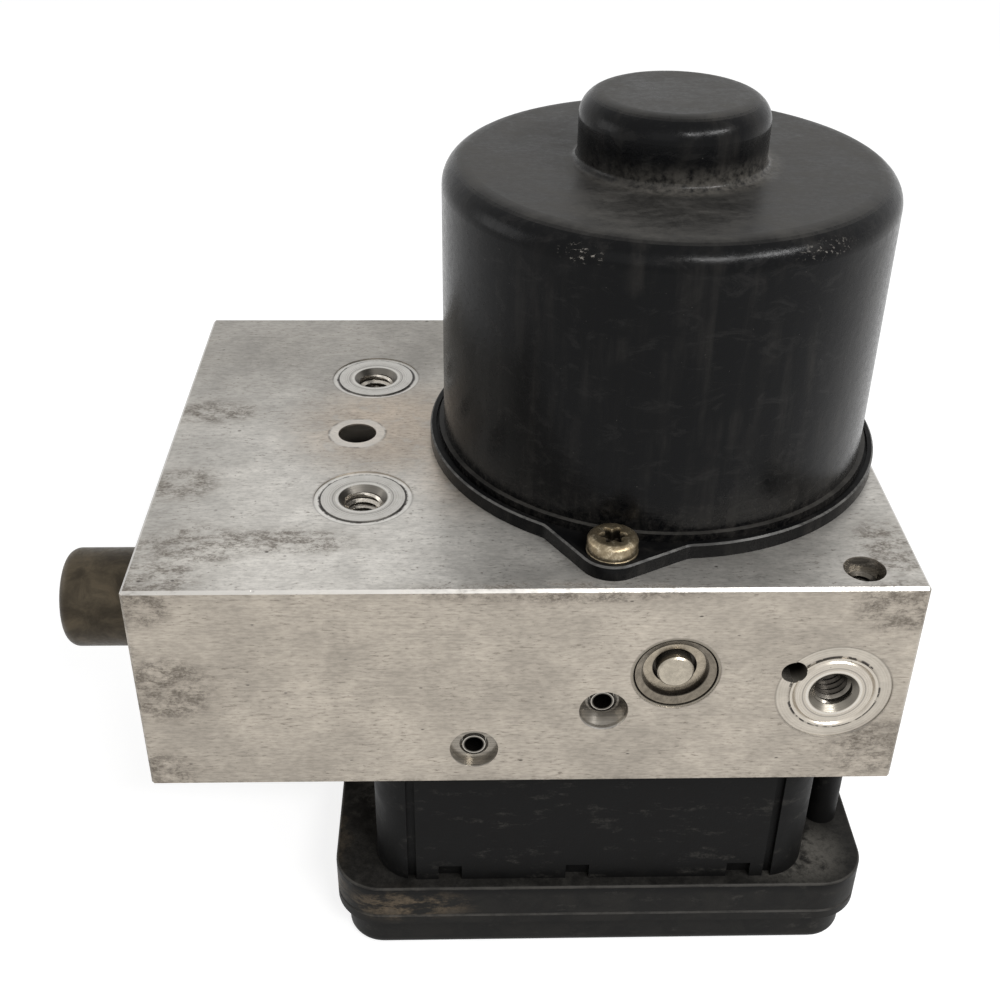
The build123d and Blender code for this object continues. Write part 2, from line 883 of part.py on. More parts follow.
# ================================================================ motor
with BuildPart() as motor_can:
    turned(
        (0, 0, z_can),
        (0, 0, 1),
        [
            (can_bore, 0),
            (hem_radius, 0),
            (hem_radius, hem_height),
            (can_radius, hem_height),
            (can_radius, can_height),
            (boss_radius, can_height),
            (boss_radius, can_height + boss_height),
            (0, can_height + boss_height),
            (0, can_height + boss_height - can_wall),
            (bearing_radius + seat_gap, can_height + boss_height - can_wall),
            (bearing_radius + seat_gap, can_height - can_wall),
            (can_radius - can_fillet, can_height - can_wall),
            (can_bore, can_height - can_fillet),
        ],
    )
    fillet(circles(motor_can, can_radius, z_shoulder), can_fillet)
    fillet(circles(motor_can, boss_radius, z_boss), boss_fillet)
    fillet(circles(motor_can, boss_radius, z_shoulder), boss_foot)
    # the hem is scalloped beside each screw head
    with BuildSketch(Plane.XY.offset(z_can)):
        with lug_spots:
            Circle(motor_screw_head_radius + end_gap)
    extrude(amount=hem_height, mode=Mode.SUBTRACT)
save(motor_can, "motor_can")

with BuildSketch() as lug_outline:
    with BuildLine():
        CenterArc((lug_distance, 0), lug_radius, 0, 360)
        Line((lug_root_radius, -lug_root_width / 2), (lug_root_radius, lug_root_width / 2))
    make_hull()

with BuildPart() as motor_plate:
    with BuildSketch(top_face) as plate_outline:
        Circle(plate_radius)
        with PolarLocations(0, 2, start_angle=lug_angle):
            add(lug_outline.sketch)
        roots = [v for v in plate_outline.vertices() if hypot(v.X, v.Y) < plate_radius + 0.01]
        fillet(roots, lug_blend)
    extrude(amount=plate_height + rim_rise)
    chamfer(motor_plate.faces().sort_by(Axis.Z)[-1].edges(), rim_edge)
    with BuildSketch(Plane.XY.offset(z_can)):
        offset(plate_outline.sketch_local, amount=-rim_width)
    extrude(amount=rim_rise, mode=Mode.SUBTRACT)
    turned(
        (0, 0, z_top),
        (0, 0, 1),
        [
            (0, -hub_depth),
            (hub_radius, -hub_depth),
            (hub_radius, -seal_drop - seal_size / 2 - run_gap),
            (hub_radius - seal_size, -seal_drop - seal_size / 2 - run_gap),
            (hub_radius - seal_size, -seal_drop + seal_size / 2 + run_gap),
            (hub_radius, -seal_drop + seal_size / 2 + run_gap),
            (hub_radius, plate_height / 2),
            (0, plate_height / 2),
        ],
    )
    stepped_bore(
        Plane.XY.offset(z_can),
        [(0, 0)],
        [
            (bearing_radius + seat_gap, bearing_height),
            (hub_lip_radius, plate_height + hub_depth),
        ],
    )
    with BuildSketch(top_face):
        with lug_spots:
            Circle(motor_screw_radius + hole_gap)
        with Locations((terminal_x, terminal_y)):
            Circle(terminal_bore)
    extrude(amount=plate_height, mode=Mode.SUBTRACT)
save(motor_plate, "motor_plate")

with BuildPart() as motor_seal:
    turned(
        (0, 0, z_top - seal_drop),
        (0, 0, 1),
        [
            (hub_radius - seal_size + run_gap, -seal_size / 2),
            (hub_radius, -seal_size / 2),
            (hub_radius, seal_size / 2),
            (hub_radius - seal_size + run_gap, seal_size / 2),
        ],
    )
save(motor_seal, "motor_seal")

with BuildPart() as motor_screws:
    with BuildSketch(Plane.XY.offset(z_can)):
        with lug_spots:
            Circle(motor_screw_head_radius)
    extrude(amount=motor_screw_head_height)
    crown = motor_screws.faces().filter_by(Axis.Z).group_by(Axis.Z)[-1]
    chamfer(crown.edges(), motor_screw_head_edge)
    with BuildSketch(Plane.XY.offset(z_can)):
        with lug_spots:
            Circle(motor_screw_radius - thread_gap)
    extrude(amount=-motor_screw_depth - plate_height)
    with BuildSketch(Plane.XY.offset(z_can + motor_screw_head_height)):
        with lug_spots:
            Circle(drive_radius)
            with PolarLocations(drive_radius, 6):
                Circle(drive_lobe_radius)
    extrude(amount=-drive_depth, mode=Mode.SUBTRACT)
save(motor_screws, "motor_screws")

bearing_profile = [
    (shaft_radius + run_gap, 0),
    (bearing_radius, 0),
    (bearing_radius, bearing_height),
    (bearing_radius - race_width, bearing_height),
    (bearing_radius - race_width, bearing_height - shield_depth),
    (shaft_radius + race_width, bearing_height - shield_depth),
    (shaft_radius + race_width, bearing_height),
    (shaft_radius + run_gap, bearing_height),
]
lower_bearing_z = z_can - bearing_height
for name, z in (("lower_bearing", lower_bearing_z), ("upper_bearing", z_top + upper_bearing_z)):
    with BuildPart() as bearing:
        turned((0, 0, z), (0, 0, 1), bearing_profile)
    save(bearing, name)

shaft_top = upper_bearing_z + bearing_height - shaft_end_gap
with BuildPart() as rotor_shaft:
    turned(
        (0, 0, z_top),
        (0, 0, 1),
        [
            (0, -chamber_depth - tail_bush_height),
            (tail_radius, -chamber_depth - tail_bush_height),
            (tail_radius, -pump_drop),
            (shaft_radius, -pump_drop),
            (shaft_radius, shaft_top - shaft_edge),
            (shaft_radius - shaft_edge, shaft_top),
            (0, shaft_top),
        ],
    )
    with BuildSketch(Plane.XY.offset(z_pump - eccentric_width / 2)):
        with Locations((eccentricity, 0)):
            Circle(eccentric_radius)
    extrude(amount=eccentric_width)
save(rotor_shaft, "rotor_shaft")

with BuildPart() as tail_bush:
    with BuildSketch(Plane.XY.offset(z_top - chamber_depth - tail_bush_height)):
        Circle(tail_bush_radius)
        Circle(tail_radius + run_gap, mode=Mode.SUBTRACT)
    extrude(amount=tail_bush_height)
save(tail_bush, "tail_bush")

z_core = z_top + core_start
with BuildPart() as armature_core:
    with BuildSketch(Plane.XY.offset(z_core)):
        Circle(core_radius)
        Circle(shaft_radius + seat_gap, mode=Mode.SUBTRACT)
        with PolarLocations(0, slots):
            Polygon(
                (slot_inner, -slot_inner_width / 2),
                (slot_outer, -slot_outer_width / 2),
                (slot_outer, slot_outer_width / 2),
                (slot_inner, slot_inner_width / 2),
                align=None,
                mode=Mode.SUBTRACT,
            )
            with Locations((core_radius, 0)):
                Rectangle(2 * (core_radius - slot_outer), slot_mouth, mode=Mode.SUBTRACT)
    extrude(amount=core_height)
save(armature_core, "armature_core")

with BuildPart() as armature_windings:
    with BuildSketch(Plane.XY.offset(z_core)):
        with PolarLocations(0, slots):
            Polygon(
                (slot_inner + wire_gap, wire_gap - slot_inner_width / 2),
                (slot_outer - wire_gap, wire_gap - slot_outer_width / 2),
                (slot_outer - wire_gap, slot_outer_width / 2 - wire_gap),
                (slot_inner + wire_gap, slot_inner_width / 2 - wire_gap),
                align=None,
            )
    extrude(amount=core_height)
    end_turn = [
        (slot_inner - end_turn_inset, 0),
        (end_turn_outer, 0),
        (end_turn_outer - end_turn_edge, end_turn_height - end_turn_edge),
        (slot_outer - end_turn_slope, end_turn_height),
        (slot_inner, end_turn_height),
        (slot_inner - end_turn_inset, end_turn_height - end_turn_edge),
    ]
    turned((0, 0, z_core + core_height), (0, 0, 1), end_turn)
    turned((0, 0, z_core), (0, 0, -1), end_turn)
save(armature_windings, "armature_windings")

with BuildPart() as commutator:
    with BuildSketch(Plane.XY.offset(z_top + commutator_start)):
        Circle(commutator_radius)
        Circle(shaft_radius + seat_gap, mode=Mode.SUBTRACT)
        with PolarLocations(commutator_radius, commutator_bars):
            Rectangle(2 * bar_slit_depth, bar_slit, mode=Mode.SUBTRACT)
    extrude(amount=commutator_height)
save(commutator, "commutator")

with BuildPart() as magnets:
    with BuildSketch(Plane.XY.offset(z_top + magnet_start)):
        Circle(magnet_outer)
        Circle(magnet_inner, mode=Mode.SUBTRACT)
        with PolarLocations(can_radius, 4, start_angle=45):
            Rectangle(2 * (can_radius - core_radius), magnet_gap, mode=Mode.SUBTRACT)
    extrude(amount=magnet_height)
save(magnets, "magnets")

# ---------------------------------------------------------------- brush gear
z_brush_plate = z_can
z_holder = z_brush_plate + brush_plate_height
holder_length = holder_outer_end - holder_inner_end
holder_mid = (holder_outer_end + holder_inner_end) / 2
with BuildPart() as brush_plate:
    with BuildSketch(Plane.XY.offset(z_brush_plate)):
        Circle(brush_plate_radius)
        Circle(brush_plate_bore, mode=Mode.SUBTRACT)
        with Locations((terminal_x, terminal_y)):
            Rectangle(*blade_window, mode=Mode.SUBTRACT)
    extrude(amount=brush_plate_height)
    with BuildSketch(Plane.XY.offset(z_holder)):
        with Locations((0, -holder_mid), (0, holder_mid)):
            Rectangle(holder_size, holder_length)
    extrude(amount=holder_size)
    for side in (-1, 1):
        with BuildSketch(Plane.XZ.offset(-side * holder_inner_end)):
            with Locations((0, brush_mid_z)):
                Rectangle(brush_size + 2 * run_gap, brush_size + 2 * run_gap)
        extrude(amount=-side * (holder_length - holder_floor), mode=Mode.SUBTRACT)
save(brush_plate, "brush_plate")

brush_start = commutator_radius + brush_gap
brush_end = brush_start + brush_length
brush_reach = brush_length + brush_wrap
for name, side in (("front", -1), ("rear", 1)):
    with BuildPart() as brush:
        with BuildSketch(Plane.XY.offset(brush_mid_z - brush_size / 2)):
            with Locations((0, side * (brush_end - brush_reach / 2))):
                Rectangle(brush_size, brush_reach)
            Circle(brush_start, mode=Mode.SUBTRACT)
        extrude(amount=brush_size)
    save(brush, f"brush_{name}")

    with BuildPart() as brush_spring:
        coil_spring(
            (0, side * brush_end, brush_mid_z),
            (0, side, 0),
            holder_outer_end - holder_floor - brush_end,
            brush_spring_radius,
            brush_spring_wire,
            brush_spring_turns,
        )
    save(brush_spring, f"brush_spring_{name}")

# ---------------------------------------------------------------- motor terminals
with BuildPart() as terminal_carrier:
    with BuildSketch(bottom_face):
        with Locations((terminal_x, terminal_y)):
            Circle(terminal_bore - run_gap)
        with Locations(*terminal_spots):
            Rectangle(
                blade_thickness + 2 * contact_gap,
                blade_width + 2 * contact_gap,
                mode=Mode.SUBTRACT,
            )
    extrude(amount=block_height + plate_height)
save(terminal_carrier, "terminal_carrier")

with BuildPart() as motor_terminals:
    with BuildSketch(Plane.XY.offset(z_board + board_height)):
        with Locations(*terminal_spots):
            Rectangle(blade_thickness, blade_width)
    extrude(amount=z_holder + blade_rise - z_board - board_height)
save(motor_terminals, "motor_terminals")


# ================================================================ side damper
damper_centre = (x_left, damper_y, z_top - damper_drop)
with BuildPart() as damper_can:
    turned(
        damper_centre,
        (-1, 0, 0),
        [
            (0, damper_stand_out),
            (damper_radius, damper_stand_out),
            (damper_radius, -damper_depth),
            (damper_radius - damper_wall, -damper_depth),
            (damper_radius - damper_wall, damper_stand_out - damper_wall),
            (0, damper_stand_out - damper_wall),
        ],
    )
    end_rim = damper_can.edges().filter_by(GeomType.CIRCLE).group_by(Axis.X)[0]
    fillet(end_rim, damper_fillet)
save(damper_can, "damper_can")

with BuildPart() as damper_cushion:
    turned(
        damper_centre,
        (-1, 0, 0),
        [
            (0, -damper_depth + damper_foot),
            (damper_radius - damper_wall - run_gap, -damper_depth + damper_foot),
            (damper_radius - damper_wall - run_gap, damper_stand_out - damper_wall - cushion_edge),
            (damper_radius - damper_wall - cushion_edge, damper_stand_out - damper_wall - run_gap),
            (0, damper_stand_out - damper_wall - run_gap),
        ],
    )
save(damper_cushion, "damper_cushion")


# ================================================================ control unit housing
def inset(point, amount):
    """Move a low corner in by an amount, or a high corner with a negative one."""
    return point[0] + amount, point[1] + amount


standoff_spots = [
    (unit_low[0] + standoff_inset, unit_low[1] + standoff_inset),
    (unit_high[0] - standoff_inset, unit_low[1] + standoff_inset),
    (unit_high[0] - standoff_inset, unit_high[1] - standoff_inset),
    (unit_low[0] + standoff_inset, unit_high[1] - standoff_inset),
]
pin_x = [socket_x + pin_pitch * (i - (pin_columns - 1) / 2) for i in range(pin_columns)]
pin_slot_width = pin_pitch * (pin_columns + 1)

with BuildPart() as control_housing:
    sketch, height = rounded_box(unit_low, unit_high, unit_corner, z_rim, z_ledge)
    extrude(sketch, amount=height)
    fillet(control_housing.faces().sort_by(Axis.Z)[-1].edges(), unit_edge)
    chamfer(control_housing.faces().sort_by(Axis.Z)[0].edges(), joint_edge)
    sketch, height = rounded_box(neck_low, neck_high, neck_corner, z_ledge, z_block)
    extrude(sketch, amount=height)
    with BuildSketch(Plane.XY.offset(z_ledge)):
        with Locations(*post_spots):
            Circle(post_radius)
    extrude(amount=neck_height)
    # connector shroud, open to the back
    with BuildSketch(Plane.XZ.offset(neck_wall - neck_high[1])):
        with Locations((socket_x, z_ledge + socket_height / 2)):
            RectangleRounded(socket_width, socket_height, socket_corner)
    extrude(amount=-(neck_back_inset + neck_wall))
    with BuildSketch(Plane.XZ.offset(-neck_high[1])):
        with Locations((socket_x, z_ledge + socket_height / 2)):
            RectangleRounded(
                socket_width - 2 * socket_wall,
                socket_height - 2 * socket_wall,
                socket_corner - socket_wall,
            )
    extrude(amount=-neck_back_inset, mode=Mode.SUBTRACT)
    # hollow neck above the ledge and hollow rim below it
    sketch, height = rounded_box(
        inset(neck_low, neck_wall),
        inset(neck_high, -neck_wall),
        neck_corner - neck_wall,
        z_ledge,
        z_block,
    )
    extrude(sketch, amount=height, mode=Mode.SUBTRACT)
    sketch, height = rounded_box(
        inset(unit_low, unit_wall),
        inset(unit_high, -unit_wall),
        unit_corner - unit_wall,
        z_rim,
        z_ledge - ledge_thickness,
    )
    extrude(sketch, amount=height, mode=Mode.SUBTRACT)
    with BuildSketch(Plane.XY.offset(z_ledge - ledge_thickness)):
        with Locations(*standoff_spots):
            Circle(standoff_radius)
    extrude(amount=-standoff_height)
    sketch, _ = rounded_box(unit_low, unit_high, unit_corner, z_rim, z_ledge)
    with BuildSketch(Plane.XY.offset(z_rim)):
        with Locations(*post_spots):
            Circle(post_foot_radius)
        add(sketch, mode=Mode.INTERSECT)
    extrude(amount=rim_height - ledge_thickness)
    # passages through the ledge: motor blades, coil leads and connector pins
    with BuildSketch(Plane.XY.offset(z_ledge)):
        with Locations((terminal_x, terminal_y)):
            Rectangle(*blade_window)
        with Locations(*[(x, y - coil_lead_offset * (1 if y > 0 else -1)) for x, y in valve_spots]):
            Rectangle(coil_lead_width, coil_lead_slot)
        with Locations((socket_x, pin_leg_y)):
            Rectangle(pin_slot_width, pin_size + 2 * pin_leg_room)
    extrude(amount=-ledge_thickness, mode=Mode.SUBTRACT)
    # connector pins pass the shroud's floor
    for row, z in enumerate(pin_rows):
        with BuildSketch(Plane.XZ.offset(-neck_high[1])):
            with Locations(*[(x + row * pin_pitch / 2, z) for x in pin_x]):
                Rectangle(pin_size + 2 * contact_gap, pin_size + 2 * contact_gap)
        extrude(amount=neck_wall, mode=Mode.SUBTRACT)
    # screw bores through the posts
    with BuildSketch(Plane.XY.offset(z_rim)):
        with Locations(*post_spots):
            Circle(unit_screw_radius + thread_gap)
    extrude(amount=z_block - z_rim, mode=Mode.SUBTRACT)
    # grooves and latch notches on the neck's front wall
    with BuildSketch(Plane.XY.offset(z_ledge)):
        with Locations(*[(x, neck_low[1]) for x in neck_groove_x]):
            Rectangle(neck_groove_width, 2 * neck_groove_depth)
    extrude(amount=neck_height, mode=Mode.SUBTRACT)
    with BuildSketch(Plane.XY.offset(z_ledge)):
        with Locations(*[(x, neck_low[1]) for x in latch_x]):
            Rectangle(latch_width, 2 * latch_depth)
    extrude(amount=latch_height, mode=Mode.SUBTRACT)
    # seal groove round the neck's upper edge
    groove = rounded_ring(neck_low, neck_high, neck_corner, neck_seal_inset, seal_width, z_block)
    extrude(groove, amount=-seal_height, mode=Mode.SUBTRACT)
save(control_housing, "control_housing")

with BuildPart() as block_seal:
    ring = rounded_ring(
        neck_low,
        neck_high,
        neck_corner,
        neck_seal_inset + seat_gap,
        seal_width - 2 * seat_gap,
        z_block,
    )
    extrude(ring, amount=-seal_height)
save(block_seal, "block_seal")

with BuildPart() as housing_screws:
    with BuildSketch(Plane.XY.offset(z_rim)):
        with Locations(*post_spots):
            Circle(unit_screw_head_radius)
    extrude(amount=-unit_screw_head_height)
    with BuildSketch(Plane.XY.offset(z_rim)):
        with Locations(*post_spots):
            Circle(unit_screw_radius)
    extrude(amount=z_block - z_rim + unit_screw_depth)
save(housing_screws, "housing_screws")


# ================================================================ lid, seal, board and pins
with BuildPart() as control_lid:
    pan_low = inset(unit_low, pan_inset)
    pan_high = inset(unit_high, -pan_inset)
    pan_corner = unit_corner - pan_inset
    sketch, height = rounded_box(pan_low, pan_high, pan_corner, 0, z_lid_flange)
    extrude(sketch, amount=height)
    fillet(control_lid.faces().sort_by(Axis.Z)[0].edges(), pan_edge)
    sketch, height = rounded_box(unit_low, unit_high, unit_corner, z_lid_flange, z_rim)
    extrude(sketch, amount=height)
    chamfer(control_lid.faces().sort_by(Axis.Z)[-1].edges(), joint_edge)
    cavity, height = rounded_box(
        inset(pan_low, pan_wall),
        inset(pan_high, -pan_wall),
        pan_corner - pan_wall,
        pan_wall,
        z_rim,
    )
    with BuildSketch(Plane.XY.offset(pan_wall)):
        add(cavity)
        with Locations(*post_spots):
            Circle(screw_pocket_radius + pocket_wall, mode=Mode.SUBTRACT)
    extrude(amount=height, mode=Mode.SUBTRACT)
    with BuildSketch(Plane.XY):
        with Locations(*post_spots):
            Circle(screw_pocket_radius)
    extrude(amount=z_rim, mode=Mode.SUBTRACT)
    groove = rounded_ring(unit_low, unit_high, unit_corner, lid_seal_inset, seal_width, z_rim)
    extrude(groove, amount=-seal_height, mode=Mode.SUBTRACT)
save(control_lid, "control_lid")

with BuildPart() as lid_seal:
    ring = rounded_ring(
        unit_low,
        unit_high,
        unit_corner,
        lid_seal_inset + seat_gap,
        seal_width - 2 * seat_gap,
        z_rim,
    )
    extrude(ring, amount=-seal_height)
save(lid_seal, "lid_seal")

with BuildPart() as circuit_board:
    board_inset = unit_wall + board_gap
    outline, _ = rounded_box(
        inset(unit_low, board_inset),
        inset(unit_high, -board_inset),
        unit_corner - board_inset,
        z_board,
        z_board + board_height,
    )
    with BuildSketch(Plane.XY.offset(z_board)):
        add(outline)
        with Locations(*post_spots):
            Circle(post_foot_radius + board_gap, mode=Mode.SUBTRACT)
    extrude(amount=board_height)
save(circuit_board, "circuit_board")

with BuildPart() as connector_pins:
    for row, z in enumerate(pin_rows):
        for x in pin_x:
            with BuildSketch(Plane.YZ.offset(x + row * pin_pitch / 2 - pin_size / 2)):
                Polygon(
                    (pin_leg_y - pin_size / 2, z_board + board_height),
                    (pin_leg_y + pin_size / 2, z_board + board_height),
                    (pin_leg_y + pin_size / 2, z - pin_size / 2),
                    (neck_high[1] + pin_reach, z - pin_size / 2),
                    (neck_high[1] + pin_reach, z + pin_size / 2),
                    (pin_leg_y - pin_size / 2, z + pin_size / 2),
                    align=None,
                )
            extrude(amount=pin_size)
save(connector_pins, "connector_pins")
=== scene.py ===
import json
import math

import bmesh
import bpy
from mathutils import Matrix, Vector


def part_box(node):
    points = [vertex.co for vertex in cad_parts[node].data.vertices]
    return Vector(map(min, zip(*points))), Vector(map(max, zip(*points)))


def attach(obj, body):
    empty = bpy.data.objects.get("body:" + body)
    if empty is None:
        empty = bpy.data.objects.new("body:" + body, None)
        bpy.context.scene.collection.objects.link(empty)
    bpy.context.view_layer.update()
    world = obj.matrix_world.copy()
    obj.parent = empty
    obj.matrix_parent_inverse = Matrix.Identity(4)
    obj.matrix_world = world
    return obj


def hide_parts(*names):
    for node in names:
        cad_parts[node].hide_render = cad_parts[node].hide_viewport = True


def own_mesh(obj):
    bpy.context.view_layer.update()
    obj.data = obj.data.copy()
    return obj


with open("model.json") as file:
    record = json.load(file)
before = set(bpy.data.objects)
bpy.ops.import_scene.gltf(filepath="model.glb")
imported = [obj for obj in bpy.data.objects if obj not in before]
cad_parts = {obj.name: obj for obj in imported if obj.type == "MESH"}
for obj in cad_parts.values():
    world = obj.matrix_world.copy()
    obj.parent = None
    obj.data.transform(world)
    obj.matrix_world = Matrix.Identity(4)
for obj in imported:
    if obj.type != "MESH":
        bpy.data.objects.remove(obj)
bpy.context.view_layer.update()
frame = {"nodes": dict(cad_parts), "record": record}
nodes = frame["nodes"]
mounts = {m["name"]: m for m in frame["record"]["mounts"]}

MM = 0.001

# Sizes in millimetres, which follow the CAD's solids.
INSERT_HOLE, BRACKET_HOLE = 3.35, 2.6  # radii of the plain holes for M8 and M6
PORT_HOLES = {"master_port": 5.46, "wheel_left_port": 4.46, "wheel_right_port": 4.46}  # M12, M10
INSERT_RADIUS = 7.4
TOP_SPOT, FRONT_SPOT = 8.7, 9.9  # spotfaces round the inserts
LOCATING_X = -55.4  # the locating hole between the top inserts
BOSS_RADIUS, BOSS_HEIGHT = 16.0, 11.2  # the boss on the motor can
HEM_INSIDE = 39.0  # the can's hem stands out beyond this radius
LEDGE_Z = 18  # about the height of the control unit's ledge

# The motor screws' heads, and how finely the new pieces are cut.
SCREW_HEAD, SCREW_HEIGHT = 4.2, 3.2
RING_STEPS = 96
THREAD_STEPS = 48  # in one turn
SHARP_EDGE = math.radians(32)

# Where the camera stands, in millimetres, and how it is turned, in the module's frame.
CAMERA_PLACE = Vector((-35.61, -221.56, 216.32))
CAMERA_RIGHT = Vector((0.99959, -0.02580, 0.01217))
CAMERA_DOWN = Vector((-0.00385, -0.54481, -0.83855))
CAMERA_FORWARD = Vector((0.02827, 0.83816, -0.54469))
LENS, SENSOR = 48.43, 36

# The floor and the surroundings, as they are seen and as they light the module.
FLOOR_HALF, FLOOR_Z = 6.0, -0.0004  # in metres
FLOOR_TONE, FLOOR_GLOW = 0.42, 0.76
WORLD_LIGHT, WORLD_SEEN = 0.5, 1.0
LAMPS = (  # name, place, target and size in millimetres, power in watts
    ("key", (400, -335, 519), (0, 0, 100), (240, 60), 2.4),
    ("gleam", (160, -495, 519), (0, 0, 100), (170, 55), 1.7),
    ("fill", (-250, -650, 420), (-20, 0, 60), (450, 450), 0.4),
    ("side", (-620, 40, 260), (-20, 0, 90), (300, 300), 0.6),
)


def corners(node):
    """A node's lowest and highest corners, in millimetres."""
    low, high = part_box(node)
    return Vector(low) / MM, Vector(high) / MM


block_low, block_high = corners("valve_block")
can_low, can_high = corners("motor_can")
unit_low, unit_high = corners("control_housing")
pump_low, pump_high = corners("pump_plug_front")
screws_low, screws_high = corners("motor_screws")
screw_x = (screws_high.x - screws_low.x) / 2 - SCREW_HEAD
screw_y = (screws_high.y - screws_low.y) / 2 - SCREW_HEAD


def face_point(name, y=None, z=None):
    """A mount's place in millimetres, moved to the face at y or z."""
    mount_x, mount_y, mount_z = (c / MM for c in mounts[name]["pos_m"])
    return (mount_x, mount_y if y is None else y, mount_z if z is None else z)


# ---------------------------------------------------------------- meshes
def place(origin, axis):
    """The matrix that puts a local +Z at origin, in millimetres, along axis."""
    turn = Vector(axis).to_track_quat("Z", "Y").to_matrix().to_4x4()
    return Matrix.Translation(Vector(origin) * MM) @ turn @ Matrix.Scale(MM, 4)


def new_object(name, mesh_maker, matrix, material):
    """Turn a bmesh into a piece of the module, smooth shaded, in its slot."""
    mesh = bpy.data.meshes.new(name)
    mesh_maker.transform(matrix)
    bmesh.ops.recalc_face_normals(mesh_maker, faces=mesh_maker.faces)
    mesh_maker.to_mesh(mesh)
    mesh_maker.free()
    mesh.materials.append(material)
    mesh.set_sharp_from_angle(angle=SHARP_EDGE)
    piece = bpy.data.objects.new(name, mesh)
    bpy.context.scene.collection.objects.link(piece)
    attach(piece, "module")
    return piece


def ring_row(maker, radius_at, height):
    """A ring of points at a height, whose radius depends on the angle."""
    row = []
    for i in range(RING_STEPS):
        angle = 2 * math.pi * i / RING_STEPS
        radius = radius_at(angle)
        row.append(maker.verts.new((radius * math.cos(angle), radius * math.sin(angle), height)))
    return row


def join_rows(maker, low, high):
    """Faces between two closed rows with as many points each."""
    for i in range(len(low)):
        j = (i + 1) % len(low)
        maker.faces.new((low[i], low[j], high[j], high[i]))


# ---------------------------------------------------------------- materials
class Look:
    """A material under construction, with its coordinates in millimetres."""

    def __init__(self, name):
        self.material = bpy.data.materials.new(name)
        self.material.use_nodes = True
        self.tree = self.material.node_tree
        self.shader = self.tree.nodes["Principled BSDF"]
        coordinates = self.add("ShaderNodeTexCoord").outputs["Object"]
        self.mm = self.vector("MULTIPLY", coordinates, (1000, 1000, 1000))
        split = self.add("ShaderNodeSeparateXYZ")
        self.link(self.mm, split.inputs[0])
        self.x, self.y, self.z = split.outputs
        facing = self.add("ShaderNodeSeparateXYZ")
        self.link(self.add("ShaderNodeNewGeometry").outputs["True Normal"], facing.inputs[0])
        self.right, self.back, self.up = facing.outputs

    def add(self, kind):
        return self.tree.nodes.new(kind)

    def link(self, source, socket):
        if isinstance(source, bpy.types.NodeSocket):
            self.tree.links.new(source, socket)
        else:
            socket.default_value = source

    def vector(self, operation, a, b):
        node = self.add("ShaderNodeVectorMath")
        node.operation = operation
        self.link(a, node.inputs[0])
        self.link(b, node.inputs[1])
        return node.outputs["Value" if operation == "DISTANCE" else "Vector"]

    def maths(self, operation, a, b=0.0):
        node = self.add("ShaderNodeMath")
        node.operation = operation
        self.link(a, node.inputs[0])
        self.link(b, node.inputs[1])
        return node.outputs[0]

    def noise(self, size, detail=4.0, roughness=0.55, stretch=(1, 1, 1), distortion=0.0, shift=0.0):
        """Noise with features of about size millimetres, longer along the axes in stretch."""
        node = self.add("ShaderNodeTexNoise")
        scaled = self.vector("DIVIDE", self.mm, stretch)
        self.link(self.vector("ADD", scaled, (shift, shift, shift)), node.inputs["Vector"])
        node.inputs["Scale"].default_value = 1 / size
        node.inputs["Detail"].default_value = detail
        node.inputs["Roughness"].default_value = roughness
        node.inputs["Distortion"].default_value = distortion
        return node.outputs["Fac"]

    def cells(self, size, stretch=(1, 1, 1)):
        """Distance to the nearest random point, in cells of about size millimetres."""
        node = self.add("ShaderNodeTexVoronoi")
        self.link(self.vector("DIVIDE", self.mm, stretch), node.inputs["Vector"])
        node.inputs["Scale"].default_value = 1 / size
        return node.outputs["Distance"]

    def band(self, value, start, end, low=0.0, high=1.0):
        """Map value smoothly from start..end to low..high."""
        node = self.add("ShaderNodeMapRange")
        node.interpolation_type = "SMOOTHSTEP"
        self.link(value, node.inputs["Value"])
        for socket, number in zip(("From Min", "From Max", "To Min", "To Max"), (start, end, low, high)):
            node.inputs[socket].default_value = number
        return node.outputs["Result"]

    def patch(self, centre, size):
        """1 at centre, falling to 0 on the ellipsoid of half sizes size."""
        moved = self.vector("DIVIDE", self.vector("SUBTRACT", self.mm, centre), size)
        return self.band(self.vector("DISTANCE", moved, (0, 0, 0)), 0.25, 1.0, 1.0, 0.0)

    def from_axis(self, centre, axis):
        """The distance from the line through centre along axis 0, 1 or 2."""
        across = tuple(0 if i == axis else 1 for i in range(3))
        flat = self.vector("MULTIPLY", self.mm, across)
        return self.vector("DISTANCE", flat, tuple(c * k for c, k in zip(centre, across)))

    def lathe(self, away, pitch=0.35):
        """Fine rings round an axis, from the distance to it."""
        node = self.add("ShaderNodeTexNoise")
        node.noise_dimensions = "1D"
        self.link(away, node.inputs["W"])
        node.inputs["Scale"].default_value = 1 / pitch
        node.inputs["Detail"].default_value = 3.0
        return node.outputs["Fac"]

    def near(self, distance, radius, half_width, soft=0.15):
        """1 where distance is about radius."""
        away = self.maths("ABSOLUTE", self.maths("SUBTRACT", distance, radius))
        return self.band(away, half_width, half_width + soft, 1.0, 0.0)

    def both(self, *masks):
        """1 where every mask is."""
        result = masks[0]
        for mask in masks[1:]:
            result = self.maths("MULTIPLY", result, mask)
        return result

    def either(self, *masks):
        """1 where any mask is."""
        result = masks[0]
        for mask in masks[1:]:
            result = self.maths("MAXIMUM", result, mask)
        return result

    def part(self, mask, share):
        return self.maths("MULTIPLY", mask, share)

    def colour(self, mask, low, high):
        """Mix two colours, each an RGB triple in linear light or a socket."""
        node = self.add("ShaderNodeMix")
        node.data_type = "RGBA"
        self.link(mask, node.inputs["Factor"])
        for value, socket in ((low, node.inputs[6]), (high, node.inputs[7])):
            self.link(value if isinstance(value, bpy.types.NodeSocket) else (*value, 1), socket)
        return node.outputs[2]

    def vary(self, noise, low=0.0, high=1.0):
        """Map a noise's usual range to low..high."""
        return self.band(noise, 0.3, 0.7, low, high)

